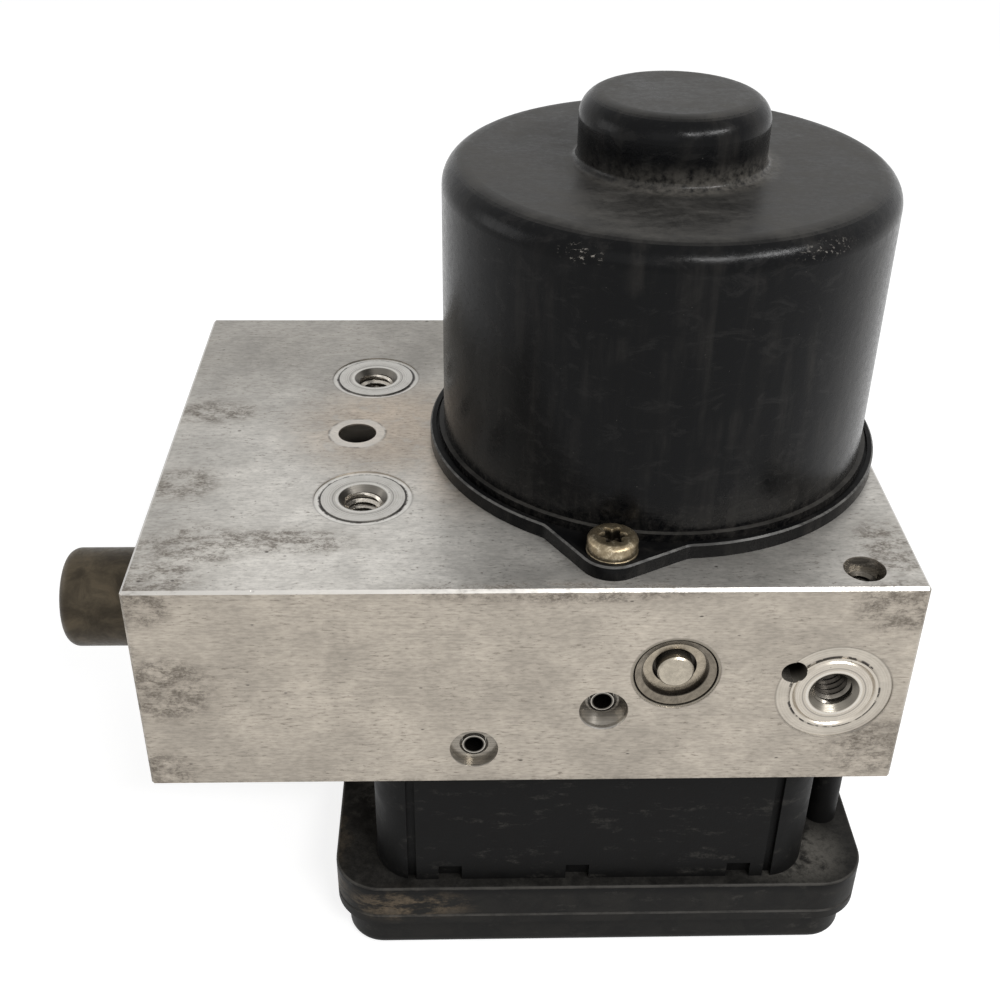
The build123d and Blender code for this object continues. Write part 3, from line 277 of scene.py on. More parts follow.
    def over(self, base, mask, colour, share=1.0):
        """A colour laid over the base where mask is, at most as much as share."""
        return self.colour(mask if share == 1.0 else self.part(mask, share), base, colour)

    def value(self, mask, low, high):
        """Mix two numbers, each a number or a socket."""
        node = self.add("ShaderNodeMix")
        self.link(mask, node.inputs["Factor"])
        self.link(low, node.inputs["A"])
        self.link(high, node.inputs["B"])
        return node.outputs["Result"]

    def shade(self, colour, tone):
        """A colour made darker or lighter by a number."""
        node = self.add("ShaderNodeCombineXYZ")
        for socket in node.inputs:
            self.link(tone, socket)
        return self.vector("MULTIPLY", colour, node.outputs[0])

    def bump(self, height, depth):
        """A bump of depth millimetres at height 1."""
        node = self.add("ShaderNodeBump")
        node.inputs["Distance"].default_value = depth * MM
        self.link(height, node.inputs["Height"])
        return node.outputs["Normal"]

    def finish(self, colour, roughness, metallic, normal, gloss=0.5):
        """Put everything into the shader, and give the material back."""
        self.link(colour, self.shader.inputs["Base Color"])
        self.link(roughness, self.shader.inputs["Roughness"])
        self.link(metallic, self.shader.inputs["Metallic"])
        self.link(normal, self.shader.inputs["Normal"])
        self.shader.inputs["Specular IOR Level"].default_value = gloss
        return self.material


def scaled(colour, share):
    return tuple(min(1, c * share) for c in colour)


def sheet_metal(name, colour, roughness, contrast=0.18):
    """Plain metal with a fine turned or drawn grain and soft tone changes."""
    look = Look(name)
    clouds = look.noise(6.0, 3)
    fine = look.noise(0.6, 5, 0.6, stretch=(1, 1, 0.3))
    dark, light = scaled(colour, 1 - contrast), scaled(colour, 1 + contrast)
    base = look.colour(look.band(clouds, 0.35, 0.65), dark, light)
    rough = look.vary(fine, roughness - 0.07, roughness + 0.09)
    return look.finish(base, rough, 1.0, look.bump(fine, 0.012))


def moulding(name, colour, roughness):
    """A moulded plastic or rubber with a fine texture."""
    look = Look(name)
    clouds = look.noise(9.0, 3)
    fine = look.noise(0.25, 3, 0.6)
    base = look.colour(clouds, scaled(colour, 0.8), scaled(colour, 1.25))
    rough = look.vary(clouds, roughness - 0.06, roughness + 0.06)
    return look.finish(base, rough, 0.0, look.bump(fine, 0.012), gloss=0.25)


def front_depth(look, start, end, low=0.0, high=1.0):
    """A band from start to end millimetres behind the block's front face."""
    return look.band(look.y, block_low.y + start, block_low.y + end, low, high)


def top_depth(look, start, end):
    """A band from start to end millimetres below the block's top face."""
    return look.band(look.z, block_high.z - start, block_high.z - end)


def block_tone(look, top, left, top_z):
    """The clean metal: soft stains, mill streaks along X, and short dark strokes."""
    clouds = look.noise(17.0, 4, 0.6)
    blotches = look.noise(4.5, 5, 0.65, distortion=0.5, shift=7.0)
    streaks = look.noise(0.9, 4, 0.6, stretch=(18, 18, 1))
    fine_streaks = look.noise(0.3, 3, 0.6, stretch=(26, 26, 1), shift=3.0)
    top_streaks = look.noise(0.8, 4, 0.65, stretch=(7, 1, 1), shift=1.0)
    strokes = look.value(
        top,
        look.noise(0.4, 3, 0.65, stretch=(3.6, 3.6, 1), shift=11.0),
        look.noise(0.4, 3, 0.65, stretch=(2.6, 1, 1), shift=13.0),
    )
    scratches = look.value(
        top,
        look.noise(0.35, 2, 0.5, stretch=(14, 14, 0.8), shift=17.0),
        look.noise(0.35, 2, 0.5, stretch=(9, 0.8, 1), shift=19.0),
    )
    side_lines = look.both(look.vary(streaks, 0.93, 1.05), look.vary(fine_streaks, 0.95, 1.04))
    tone = look.both(
        look.vary(clouds, 0.85, 1.1),
        look.band(blotches, 0.3, 0.72, 0.9, 1.06),
        look.value(top, side_lines, look.vary(top_streaks, 0.93, 1.05)),
        look.band(strokes, 0.36, 0.64, 1.07, 0.88),
    )
    # painted light: the top gets a lighter colour than the sides of the same aluminium, as if lit from above
    base = look.colour(top, (0.392, 0.351, 0.297), (0.568, 0.546, 0.508))
    right_top = look.both(top, look.band(look.x, -8, 22))
    base = look.over(base, right_top, (0.44, 0.42, 0.385), 0.35)
    base = look.shade(base, tone)
    # painted shade: the top is darkened towards the back and towards its left end, where it reflects less
    # light
    far = look.both(top, look.band(look.x, left + 26, left - 6))
    behind = look.both(top, look.band(look.y, -16, 36))
    painted_top_shade = look.shade((0.31, 0.292, 0.262), tone)
    base = look.over(base, look.either(look.part(far, 0.6), behind), painted_top_shade, 0.85)
    stain = look.either(
        look.patch((LOCATING_X + 7, 2, top_z), (26, 24, 5)),
        look.patch((-35, -4, top_z), (14, 32, 5)),
    )
    brown = look.both(stain, look.band(blotches, 0.22, 0.52))
    base = look.over(base, brown, look.shade((0.44, 0.368, 0.295), tone), 0.85)
    fleck = look.either(look.band(strokes, 0.6, 0.68), look.band(scratches, 0.7, 0.74))
    base = look.over(base, look.both(fleck, look.band(blotches, 0.38, 0.58)), (0.15, 0.125, 0.1), 0.7)
    return base, blotches, streaks, top_streaks


def block_dirt(look, base, side, left, right, face_y, top_z, base_z):
    """Smears and dirt where hands and road film reach. Each smear has a centre and half sizes."""
    smears = [
        ((left + 6.5, 8.3, top_z), (13, 7, 4)),
        ((left + 4.6, -17.9, top_z), (10, 8, 4)),
        ((left + 9.5, -36.9, top_z), (15, 9, 4)),
        ((left + 24, -36, top_z), (20, 6, 4)),
        ((left + 4.6, -46, top_z), (12, 8, 5)),
        ((left + 5, face_y, 67.4), (13, 5, 11)),
        ((left + 2.5, face_y, 85.6), (9, 4, 8)),
        ((left + 1.5, face_y, base_z + 2.5), (11, 5, 8)),
        ((left, -30, 60), (5, 26, 17)),
        ((-20, face_y, top_z), (40, 4, 4)),
        ((right - 3, face_y, 53), (15, 5, 10)),
        ((right - 4, face_y, 84), (13, 5, 9)),
        ((35.5, -38.5, top_z), (9, 13, 4)),
    ]
    faint_smears = [
        ((right, 0, 58), (4, 40, 16)),
        ((30, -face_y, 60), (26, 5, 18)),
        ((-70, -face_y, 78), (30, 5, 12)),
        ((left, 30, 80), (5, 26, 12)),
    ]
    noise = look.noise(2.2, 8, 0.8, stretch=(1.6, 1, 1), shift=2.0)
    grain = look.noise(0.5, 4, 0.7, stretch=(1.4, 1, 1), shift=21.0)
    strong = [look.patch(*smear) for smear in smears]
    faint = [look.part(look.patch(*smear), 0.55) for smear in faint_smears]
    reach = look.either(*strong, *faint)
    smudge = look.both(reach, look.vary(noise))
    base = look.over(base, smudge, (0.185, 0.16, 0.13), 0.62)
    low_edge = look.both(look.band(look.z, base_z + 1.8, base_z + 0.2), side)
    left_edge = look.both(look.band(look.x, left + 1.5, left + 0.2), side)
    reach = look.either(look.band(reach, 0.25, 0.9), look.part(low_edge, 0.7), look.part(left_edge, 0.8))
    grime = look.both(reach, look.band(noise, 0.44, 0.58), look.band(grain, 0.4, 0.54))
    return look.over(base, grime, (0.07, 0.055, 0.04), 0.72), smudge, grime


def block_rings(look, base, blotches, top, front, face_y, top_z):
    """Clean spotfaces round the holes, and a dark line where an insert or plug meets the block."""
    broken = look.band(look.noise(2.2, 4, 0.65, shift=9.0), 0.47, 0.53)
    clean, lines = [], []
    for mount, spot, on_top in (
        ("top_thread_front", TOP_SPOT, True),
        ("top_thread_rear", TOP_SPOT, True),
        ("front_thread", FRONT_SPOT, False),
    ):
        centre = face_point(mount, z=top_z) if on_top else face_point(mount, y=face_y)
        away = look.from_axis(centre, 2 if on_top else 1)
        face, seam_share = (top, 0.95) if on_top else (front, 0.3)
        turned = look.vary(look.lathe(away), 0.5, 1.0)
        clean.append(look.both(face, look.band(away, spot + 0.2, spot - 0.3), turned))
        seam = look.part(look.near(away, INSERT_RADIUS + 0.1, 0.18, 0.2), seam_share)
        chips = look.both(look.near(away, INSERT_RADIUS + 0.12, 0.24, 0.3), broken)
        lines.append(look.both(face, look.either(seam, chips)))
        lines.append(look.part(look.both(face, look.near(away, spot, 0.02, 0.3)), 0.3))
    hole = look.from_axis((LOCATING_X, 0, top_z), 2)
    clean.append(look.part(look.both(top, look.band(hole, 5.6, 5.2)), 0.5))
    rim = look.both(top, look.near(hole, 5.4, 0.05, 0.35), look.band(blotches, 0.42, 0.56))
    lines.append(look.part(rim, 0.6))
    plug = look.from_axis((pump_low + pump_high) / 2, 1)
    lines.append(look.part(look.both(front, look.near(plug, 7.55, 0.02, 0.2)), 0.4))
    # painted light: the clean rings on the top get a lighter colour than those in front, as if lit from above
    metal = look.colour(top, (0.51, 0.468, 0.405), (0.72, 0.705, 0.67))
    base = look.over(base, look.either(*clean), look.shade(metal, look.vary(blotches, 0.86, 1.04)), 0.85)
    return look.over(base, look.either(*lines), (0.035, 0.031, 0.028))


def block_look():
    """Machined aluminium, weathered: mill streaks, stains, pits, and worn rings round the holes."""
    look = Look("block_aluminium")
    top = look.band(look.up, 0.5, 0.8)
    side = look.band(look.up, 0.5, 0.8, 1.0, 0.0)
    front = look.band(look.back, -0.5, -0.8)
    edge = look.both(look.band(look.up, 0.2, 0.45), look.band(look.up, 0.97, 0.8))
    left, right = block_low.x, block_high.x
    face_y, top_z, base_z = block_low.y, block_high.z, block_low.z

    base, blotches, streaks, top_streaks = block_tone(look, top, left, top_z)
    base, smudge, grime = block_dirt(look, base, side, left, right, face_y, top_z, base_z)

    # pits, a few of them large
    gate = look.band(look.noise(7.0, 2, 0.5, shift=5.0), 0.5, 0.62)
    pits = look.both(look.band(look.cells(2.6, stretch=(1.8, 1.5, 0.8)), 0.1, 0.04), gate)
    fine_cells = look.band(look.cells(0.9, stretch=(2.2, 1.8, 0.7)), 0.12, 0.05)
    fine_pits = look.both(fine_cells, look.band(blotches, 0.46, 0.58))
    pitted = look.either(look.part(pits, 0.85), look.part(fine_pits, 0.6))
    base = look.over(base, pitted, (0.065, 0.055, 0.047))

    base = block_rings(look, base, blotches, top, front, face_y, top_z)
    # the chamfered edges are painted lighter: partly rubbed wear, partly painted highlight
    rub = look.noise(1.2, 4, 0.7, stretch=(5, 5, 1), shift=23.0)
    worn = look.both(edge, look.band(rub, 0.36, 0.5, 0.35, 1.0))
    base = look.over(base, worn, (0.5, 0.483, 0.455), 0.8)

    # inside the holes the cut metal is smoother; painted shade makes it darker, and nearly black deep down
    def below(start, end):
        return look.both(
            look.band(look.y, face_y + start, face_y + end),
            look.band(look.y, -face_y - start, -face_y - end),
            look.band(look.z, top_z - start, top_z - end),
            look.band(look.z, base_z + start, base_z + end),
            look.band(look.x, left + start, left + end),
            look.band(look.x, right - start, right - end),
        )

    inside = below(0.2, 0.4)
    drilled = look.lathe(look.maths("ADD", look.y, look.z), 0.5)
    shaded_cut_wall = look.shade((0.2, 0.182, 0.155), look.band(drilled, 0.35, 0.65, 0.75, 1.3))
    base = look.over(base, inside, shaded_cut_wall, 0.85)
    # painted shade: nearly black deep in the holes
    base = look.over(base, below(1.6, 4.5), (0.018, 0.016, 0.014), 0.92)
    rough = look.value(smudge, look.vary(streaks, 0.34, 0.48), 0.7)
    rough = look.value(inside, rough, 0.24)
    rough = look.value(edge, rough, 0.34)
    lines = look.part(look.value(top, streaks, top_streaks), 0.3)
    height = look.maths("SUBTRACT", lines, look.either(pits, fine_pits))
    return look.finish(base, rough, look.value(grime, 0.78, 0.1), look.bump(height, 0.045))


def can_wear(look, base, edge, patches, swirl, fine):
    """The can's surface: scuffs on the shoulder that are partly painted highlight, dust at the boss's foot, a
    right flank that is partly painted light, and a hem edge that is partly worn and partly painted highlight.
    """
    shoulder_z = can_high.z - BOSS_HEIGHT
    away = look.from_axis((0, 0, 0), 2)
    # painted highlight: light scratch streaks on the front shoulder, partly scuffs, where the lamps'
    # highlight falls
    scratch = look.band(look.noise(0.5, 5, 0.7, stretch=(3.0, 1, 1), distortion=0.3), 0.57, 0.62)
    left_scuff_glint = look.patch((-18, -34.5, 138.2), (5, 4, 1.8))
    right_scuff_glint = look.patch((20, -33, 138.5), (10, 5, 1.8))
    marks = look.either(left_scuff_glint, look.part(right_scuff_glint, 0.6))
    base = look.over(base, look.both(marks, scratch), (0.3, 0.28, 0.25), 0.7)
    foot = look.both(
        look.band(away, BOSS_RADIUS + 3.6, BOSS_RADIUS + 1.0),
        look.band(look.z, shoulder_z + 5.0, shoulder_z + 0.4),
        look.band(look.z, shoulder_z - 2, shoulder_z - 1),
        look.band(look.maths("SUBTRACT", look.x, look.y), -8, 20, 0.3, 1.0),
        look.band(look.noise(1.1, 4, 0.65, shift=25.0), 0.25, 0.7),
    )
    base = look.over(base, foot, (0.11, 0.102, 0.09), 0.6)
    # lighter on the side facing right: partly dust, partly painted light from the right
    flank = look.both(
        look.band(look.right, 0.45, 0.98),
        look.band(look.up, 0.6, 0.2),
        look.band(patches, 0.3, 0.6, 0.6, 1.0),
    )
    base = look.over(base, flank, (0.05, 0.048, 0.045), 0.25)
    low = look.both(look.band(look.z, can_low.z + 9, can_low.z + 1), look.band(fine, 0.4, 0.7))
    base = look.over(base, low, (0.045, 0.041, 0.036), 0.25)
    # the hem's edges painted lighter: partly wear, partly painted highlight
    hem = look.both(look.band(away, HEM_INSIDE, HEM_INSIDE + 0.2), edge)
    return look.over(base, look.both(hem, look.band(swirl, 0.3, 0.6, 0.35, 1.0)), (0.16, 0.155, 0.145), 0.7)


def coated_look(name, dust_share, swirl_share, smooth, depth, gloss, can=False):
    """Satin black coating, dusty where it faces up, with fine light specks, and scuffs and edges that are
    partly painted highlight.
    """
    look = Look(name)
    up = look.band(look.up, 0.8, 0.99)
    edge = look.both(look.band(look.up, 0.2, 0.5), look.band(look.up, 0.985, 0.93))
    patches = look.noise(13.0, 5, 0.6, distortion=0.5)
    swirl = look.noise(3.0, 6, 0.72, stretch=(2.4, 1, 1), distortion=0.8, shift=15.0)
    fine = look.noise(1.0, 5, 0.75, shift=4.0)
    runs = look.noise(3.0, 4, 0.6, stretch=(1, 1, 9), shift=8.0)
    dust = look.both(
        up,
        look.band(patches, 0.3, 0.68, 0.5, 1.08),
        look.vary(swirl, 0.62, 1.15),
        look.band(fine, 0.25, 0.75, 0.74, 1.12),
    )
    film = look.both(look.band(runs, 0.42, 0.72), look.band(patches, 0.36, 0.62))
    specks = look.both(look.band(look.cells(1.3), 0.09, 0.03), look.band(fine, 0.54, 0.64))
    base = look.colour(film, (0.0022, 0.0023, 0.0026), (0.0125, 0.0117, 0.0108))
    base = look.over(base, look.band(swirl, 0.52, 0.66), (0.018, 0.0172, 0.0165), swirl_share)
    base = look.over(base, dust, (0.056, 0.0533, 0.0488), dust_share)
    base = look.over(base, specks, (0.16, 0.15, 0.135), 0.5)
    if can:
        base = can_wear(look, base, edge, patches, swirl, fine)
    else:
        # the edges painted lighter: partly wear, partly painted highlight
        worn = look.both(edge, look.band(swirl, 0.35, 0.6, 0.35, 1.0))
        base = look.over(base, worn, (0.13, 0.127, 0.12), 0.75)
    rough = look.value(dust, look.vary(fine, *smooth), 0.52)
    height = look.maths("ADD", look.part(patches, 0.6), look.part(look.maths("ADD", fine, swirl), 0.22))
    return look.finish(base, rough, 0.0, look.bump(height, depth), gloss)


def housing_look():
    """Black glass-filled nylon with dust on the ledges and brown dirt in corners."""
    look = Look("unit_plastic")
    up = look.band(look.up, 0.4, 0.9)
    wall = look.band(look.up, 0.5, 0.2)
    patches = look.noise(6.0, 5, 0.66, distortion=0.7)
    smears = look.noise(2.6, 5, 0.7, stretch=(2.4, 2.4, 1), shift=6.0)
    fine = look.noise(0.35, 3, 0.6)
    grains = look.noise(0.8, 6, 0.8, shift=27.0)
    left, right, front = unit_low.x, unit_high.x, unit_low.y
    base = look.colour(patches, (0.0028, 0.0028, 0.0029), (0.007, 0.0068, 0.0065))
    dust = look.both(up, look.band(patches, 0.3, 0.75, 0.3, 1.0), look.band(grains, 0.3, 0.65, 0.3, 1.0))
    base = look.over(base, dust, (0.05, 0.047, 0.042), 0.5)
    below_ledge = look.band(look.z, LEDGE_Z - 0.5, LEDGE_Z - 2.5)
    band_film = look.both(wall, below_ledge, look.band(patches, 0.35, 0.65, 0.4, 1.0))
    base = look.over(base, band_film, (0.026, 0.0245, 0.022), 0.5)
    right_corner = look.patch((right - 13, front + 8, LEDGE_Z), (13, 10, 6))
    left_corner = look.patch((left + 9, front + 24, LEDGE_Z), (10, 12, 6))
    corners_reach = look.either(right_corner, look.part(left_corner, 0.6))
    ledge = look.both(corners_reach, up, look.band(smears, 0.36, 0.52), look.band(grains, 0.3, 0.6, 0.5, 1.0))
    base = look.over(base, ledge, (0.12, 0.113, 0.1), 0.75)
    mud = look.either(
        look.patch((left + 13, front, 13.6), (17, 6, 5)),
        look.patch((left, front + 14, 14), (6, 18, 6)),
        look.part(look.patch((right, 0, 14), (6, 40, 5)), 0.5),
    )
    brown = look.both(mud, look.band(smears, 0.42, 0.58), look.band(grains, 0.35, 0.6, 0.4, 1.0))
    base = look.over(base, brown, (0.13, 0.1, 0.068), 0.85)
    film = look.both(wall, look.band(smears, 0.56, 0.7), look.band(grains, 0.35, 0.6))
    base = look.over(base, film, (0.05, 0.047, 0.042), 0.5)
    rim = look.both(look.band(look.up, 0.15, 0.4), look.band(look.up, 0.97, 0.85))
    worn = look.both(rim, look.band(smears, 0.35, 0.6, 0.4, 1.0))
    base = look.over(base, worn, (0.07, 0.066, 0.06), 0.6)
    bump = look.bump(look.maths("ADD", fine, patches), 0.02)
    return look.finish(base, look.vary(patches, 0.4, 0.55), 0.0, bump, gloss=0.07)


def damper_look():
    """Dark olive coating on drawn steel, with brown patches."""
    look = Look("damper_coating")
    patches = look.noise(5.0, 5, 0.65, distortion=0.6)
    fine = look.noise(0.6, 4, 0.65)
    base = look.colour(look.vary(patches), (0.034, 0.027, 0.018), (0.085, 0.068, 0.045))
    rust = look.both(look.band(patches, 0.55, 0.7), look.band(fine, 0.4, 0.6))
    base = look.over(base, rust, (0.1, 0.07, 0.042), 0.5)
    return look.finish(base, look.vary(fine, 0.4, 0.55), 0.5, look.bump(fine, 0.02), gloss=0.2)


def screw_look():
    """Yellow zinc plating, dulled to bronze, with painted shade in the socket and bright worn specks."""
    look = Look("screw_plating")
    patches = look.noise(1.8, 5, 0.7, distortion=0.5)
    fine = look.noise(0.35, 4, 0.7)
    base = look.colour(look.vary(patches), (0.165, 0.128, 0.078), (0.31, 0.255, 0.17))
    worn = look.both(look.band(patches, 0.52, 0.6), look.band(fine, 0.45, 0.55))
    base = look.over(base, worn, (0.6, 0.52, 0.38), 0.6)
    # painted shade: the deep part of the drive socket is made nearly black
    deep = look.band(look.z, screws_high.z - 0.35, screws_high.z - 0.8)
    axes = [look.from_axis((sign * screw_x, sign * screw_y, 0), 2) for sign in (-1, 1)]
    socket = look.both(deep, look.band(look.maths("MINIMUM", *axes), 2.9, 2.75))
    base = look.over(base, socket, (0.02, 0.017, 0.014), 0.9)
    bump = look.bump(look.maths("ADD", fine, patches), 0.02)
    return look.finish(base, look.vary(fine, 0.26, 0.42), 0.85, bump)


def insert_look():
    """Turned steel, with lathe rings and small dark specks: grey on top and beige in front, with painted
    shade in the groove, cone and bore, and a painted highlight ring at the mouth.
    """
    look = Look("insert_steel")
    patches = look.noise(2.4, 4, 0.65, distortion=0.4)
    fine = look.noise(0.3, 4, 0.6)
    tops = [look.from_axis(face_point(f"top_thread_{end}"), 2) for end in ("front", "rear")]
    in_front = front_depth(look, 16, 15)
    front_away = look.from_axis(face_point("front_thread"), 1)
    away = look.value(in_front, look.maths("MINIMUM", *tops), front_away)
    rings = look.lathe(away)
    dark = look.colour(in_front, (0.4, 0.385, 0.355), (0.43, 0.39, 0.335))
    light = look.colour(in_front, (0.53, 0.515, 0.485), (0.51, 0.468, 0.405))
    mottle = look.maths("ADD", look.part(patches, 0.4), look.part(rings, 0.6))
    base = look.colour(look.band(mottle, 0.35, 0.62), dark, light)
    # painted shade in the groove outside the mouth ring, and a painted highlight on the ring's edge
    groove, bright_ring, mouth = 5.35, 4.6, 4.3
    base = look.over(base, look.near(away, groove, 0.05, 0.14), (0.12, 0.11, 0.1), 0.6)
    base = look.over(base, look.near(away, bright_ring, 0.1, 0.14), (0.66, 0.64, 0.6), 0.4)
    # painted shade: the cone inside the mouth is darkened
    cone = look.colour(in_front, (0.1, 0.09, 0.076), (0.12, 0.11, 0.092))
    base = look.over(base, look.band(away, mouth + 0.08, mouth - 0.05), cone, 0.9)
    specks = look.both(look.band(look.cells(1.4), 0.12, 0.05), look.band(patches, 0.5, 0.6))
    base = look.over(base, specks, (0.06, 0.055, 0.05), 0.8)
    # painted shade: the bore is nearly black below the mouth
    deep = look.both(top_depth(look, 0.4, 3.5), front_depth(look, 0.4, 3.5))
    bore = look.colour(in_front, (0.06, 0.052, 0.042), (0.02, 0.017, 0.014))
    base = look.over(base, deep, bore, 0.96)
    bump = look.bump(look.maths("ADD", look.part(fine, 0.3), rings), 0.006)
    return look.finish(base, look.vary(rings, 0.26, 0.4), 0.88, bump)


def plug_look():
    """Plated steel plugs: the pump plugs are bronze-grey outside and beige on their land and boss."""
    look = Look("plug_steel")
    patches = look.noise(1.6, 5, 0.66, distortion=0.4)
    fine = look.noise(0.3, 4, 0.6)
    base = look.colour(look.vary(patches), (0.2, 0.186, 0.162), (0.36, 0.342, 0.31))

    # the drilling plugs: a dark sleeve with two bright rims round its bore, painted highlights, and painted
    # shade in the bore
    centres = [sum(corners(f"drilling_plug_{end}"), Vector()) / 2 for end in ("low", "high")]
    away = look.maths("MINIMUM", *(look.from_axis(centre, 1) for centre in centres))
    base = look.over(base, look.band(away, 3.2, 3.0), (0.085, 0.078, 0.066), 0.8)
    rims = look.either(look.near(away, 1.98, 0.07, 0.1), look.part(look.near(away, 2.45, 0.06, 0.1), 0.6))
    base = look.over(base, rims, (0.5, 0.47, 0.42), 0.85)
    base = look.over(base, look.band(away, 1.75, 1.65), (0.015, 0.013, 0.011), 0.95)

    # the pump plugs, from outside in: seat, collar, land and boss, with painted shade as dark lines in the
    # grooves between them
    away = look.from_axis((pump_low + pump_high) / 2, 1)
    seat = look.both(look.band(away, 7.7, 7.5), look.band(away, 6.6, 6.8))
    turned = look.vary(look.lathe(away, 0.5), 0.6, 1.3)
    base = look.over(base, seat, look.shade((0.3, 0.262, 0.205), turned), 0.8)
    collar = look.both(look.band(away, 7.0, 6.8), look.band(away, 5.3, 5.5))
    base = look.over(base, collar, look.shade((0.15, 0.128, 0.098), look.vary(patches, 0.75, 1.3)), 0.9)
    land = look.band(away, 5.45, 5.2)
    base = look.over(base, land, look.shade((0.32, 0.275, 0.21), look.vary(patches, 0.8, 1.2)), 0.9)
    boss = look.band(away, 3.2, 3.05)
    base = look.over(base, boss, look.shade((0.37, 0.332, 0.27), look.vary(patches, 0.82, 1.18)), 0.9)
    # painted shade in the grooves
    for radius, half_width, share in ((7.0, 0.05, 0.8), (5.5, 0.12, 0.85), (3.42, 0.26, 0.95)):
        base = look.over(base, look.near(away, radius, half_width, 0.16), (0.02, 0.017, 0.014), share)
    bump = look.bump(look.maths("ADD", fine, patches), 0.012)
    return look.finish(base, look.vary(fine, 0.24, 0.36), 0.85, bump)


def thread_look():
    """Cut threads: bright near the mouth of a top hole, with painted shade deeper down and in the front."""
    look = Look("thread_steel")
    fine = look.noise(0.5, 4, 0.6, stretch=(1, 1, 0.4))
    base = look.colour(look.vary(fine), (0.42, 0.385, 0.335), (0.6, 0.56, 0.5))
    # painted shade: the threads darken deeper in the holes and in the front hole
    deep = look.either(
        look.both(top_depth(look, 2, 7), front_depth(look, 15, 14, 1.0, 0.0)),
        look.both(front_depth(look, 15, 14), front_depth(look, 0.5, 3.5)),
    )
    in_front = look.both(front_depth(look, 16, 15), top_depth(look, 4, 5))
    base = look.over(base, in_front, (0.16, 0.145, 0.12), 0.6)
    bore = look.colour(in_front, (0.06, 0.052, 0.042), (0.02, 0.017, 0.014))
    base = look.over(base, deep, bore, 0.93)
    return look.finish(base, look.vary(fine, 0.2, 0.32), 0.95, look.bump(fine, 0.01))


looks = {
    "block": block_look(),
    "can": coated_look("can_coating", 0.78, 0.4, (0.15, 0.3), 0.12, 0.1, can=True),
    "plate": coated_look("plate_coating", 0.04, 0.12, (0.2, 0.3), 0.05, 0.06),
    "housing": housing_look(),
    "damper": damper_look(),
    "motor_screw": screw_look(),
    "insert": insert_look(),
    "plug": plug_look(),
    "thread": thread_look(),
    "pump_steel": sheet_metal("pump_steel", (0.5, 0.49, 0.47), 0.28),
    "pump_cylinder": sheet_metal("cylinder_aluminium", (0.6, 0.59, 0.57), 0.34),
    "spring": sheet_metal("spring_steel", (0.35, 0.34, 0.33), 0.35),
    "accumulator_piston": sheet_metal("piston_aluminium", (0.55, 0.55, 0.54), 0.36),
    "valve_brass": sheet_metal("valve_brass", (0.6, 0.44, 0.17), 0.3),
    "valve_steel": sheet_metal("valve_steel", (0.45, 0.45, 0.46), 0.32),
    "coil": moulding("coil_resin", (0.16, 0.035, 0.012), 0.35),
    "seal": moulding("seal_rubber", (0.012, 0.012, 0.012), 0.6),
    "bearing": sheet_metal("bearing_steel", (0.6, 0.6, 0.6), 0.2, 0.08),
    "shaft": sheet_metal("shaft_steel", (0.52, 0.52, 0.52), 0.26),
    "bush": sheet_metal("bush_bronze", (0.5, 0.26, 0.1), 0.45),
    "core": sheet_metal("core_steel", (0.14, 0.14, 0.15), 0.5),
    "winding": sheet_metal("winding_copper", (0.62, 0.22, 0.08), 0.3),
    "commutator": sheet_metal("commutator_copper", (0.7, 0.3, 0.14), 0.3),
    "magnet": moulding("magnet_ferrite", (0.03, 0.03, 0.032), 0.65),
    "brush_plate": moulding("brush_plate_phenolic", (0.06, 0.04, 0.025), 0.5),
    "brush": moulding("brush_carbon", (0.02, 0.02, 0.02), 0.5),
    "carrier": moulding("carrier_nylon", (0.02, 0.02, 0.02), 0.5),
    "terminal": sheet_metal("terminal_brass", (0.62, 0.52, 0.3), 0.3),
    "cushion": moulding("cushion_rubber", (0.015, 0.015, 0.015), 0.6),
    "board": moulding("board_green", (0.01, 0.07, 0.03), 0.4),
    "pin": sheet_metal("pin_tinned", (0.6, 0.52, 0.32), 0.28),
    "housing_screw": sheet_metal("housing_screw_zinc", (0.5, 0.5, 0.48), 0.35),
}
looks["lid"] = looks["housing"]

node_slot = {s["node"]: s["material_slot"] for s in frame["record"]["subparts"]}
for name, node in nodes.items():
    for slot in node.material_slots:
        slot.material = looks[node_slot[name]]


# ---------------------------------------------------------------- threads on the walls of plain holes
def thread_ridge(name, origin, axis, slot, hole, depth, pitch, top, bottom):
    """A helical ridge on the wall of a plain hole, which runs out at both ends."""
    turns = (top - bottom) / pitch
    steps = round(turns * THREAD_STEPS)
    root, half_foot = hole + 0.05, pitch * 0.42
    half_crest = 0.06
    maker = bmesh.new()
    last = None
    for i in range(steps + 1):
        share = i / steps
        angle = 2 * math.pi * turns * share
        height = bottom + (top - bottom) * share
        crest = hole - depth * min(1, share * turns * 2, (1 - share) * turns * 2)
        profile = [
            (root, height - half_foot),
            (crest, height - half_crest),
            (crest, height + half_crest),
            (root, height + half_foot),
        ]
        row = [maker.verts.new((r * math.cos(angle), r * math.sin(angle), h)) for r, h in profile]
        if last:
            join_rows(maker, last, row)
        else:
            maker.faces.new(row)
        last = row
    maker.faces.new(last[::-1])
    new_object(name, maker, place(origin, axis), looks["thread"])


insert_thread = {"hole": INSERT_HOLE, "depth": 0.55, "pitch": 1.25, "top": -1.3, "bottom": -12.5}
bracket_thread = {"hole": BRACKET_HOLE, "depth": 0.6, "pitch": 1.3, "top": -1.9, "bottom": -13}
port_thread = {"depth": 0.42, "pitch": 1.0, "top": -1.2, "bottom": -11.2}

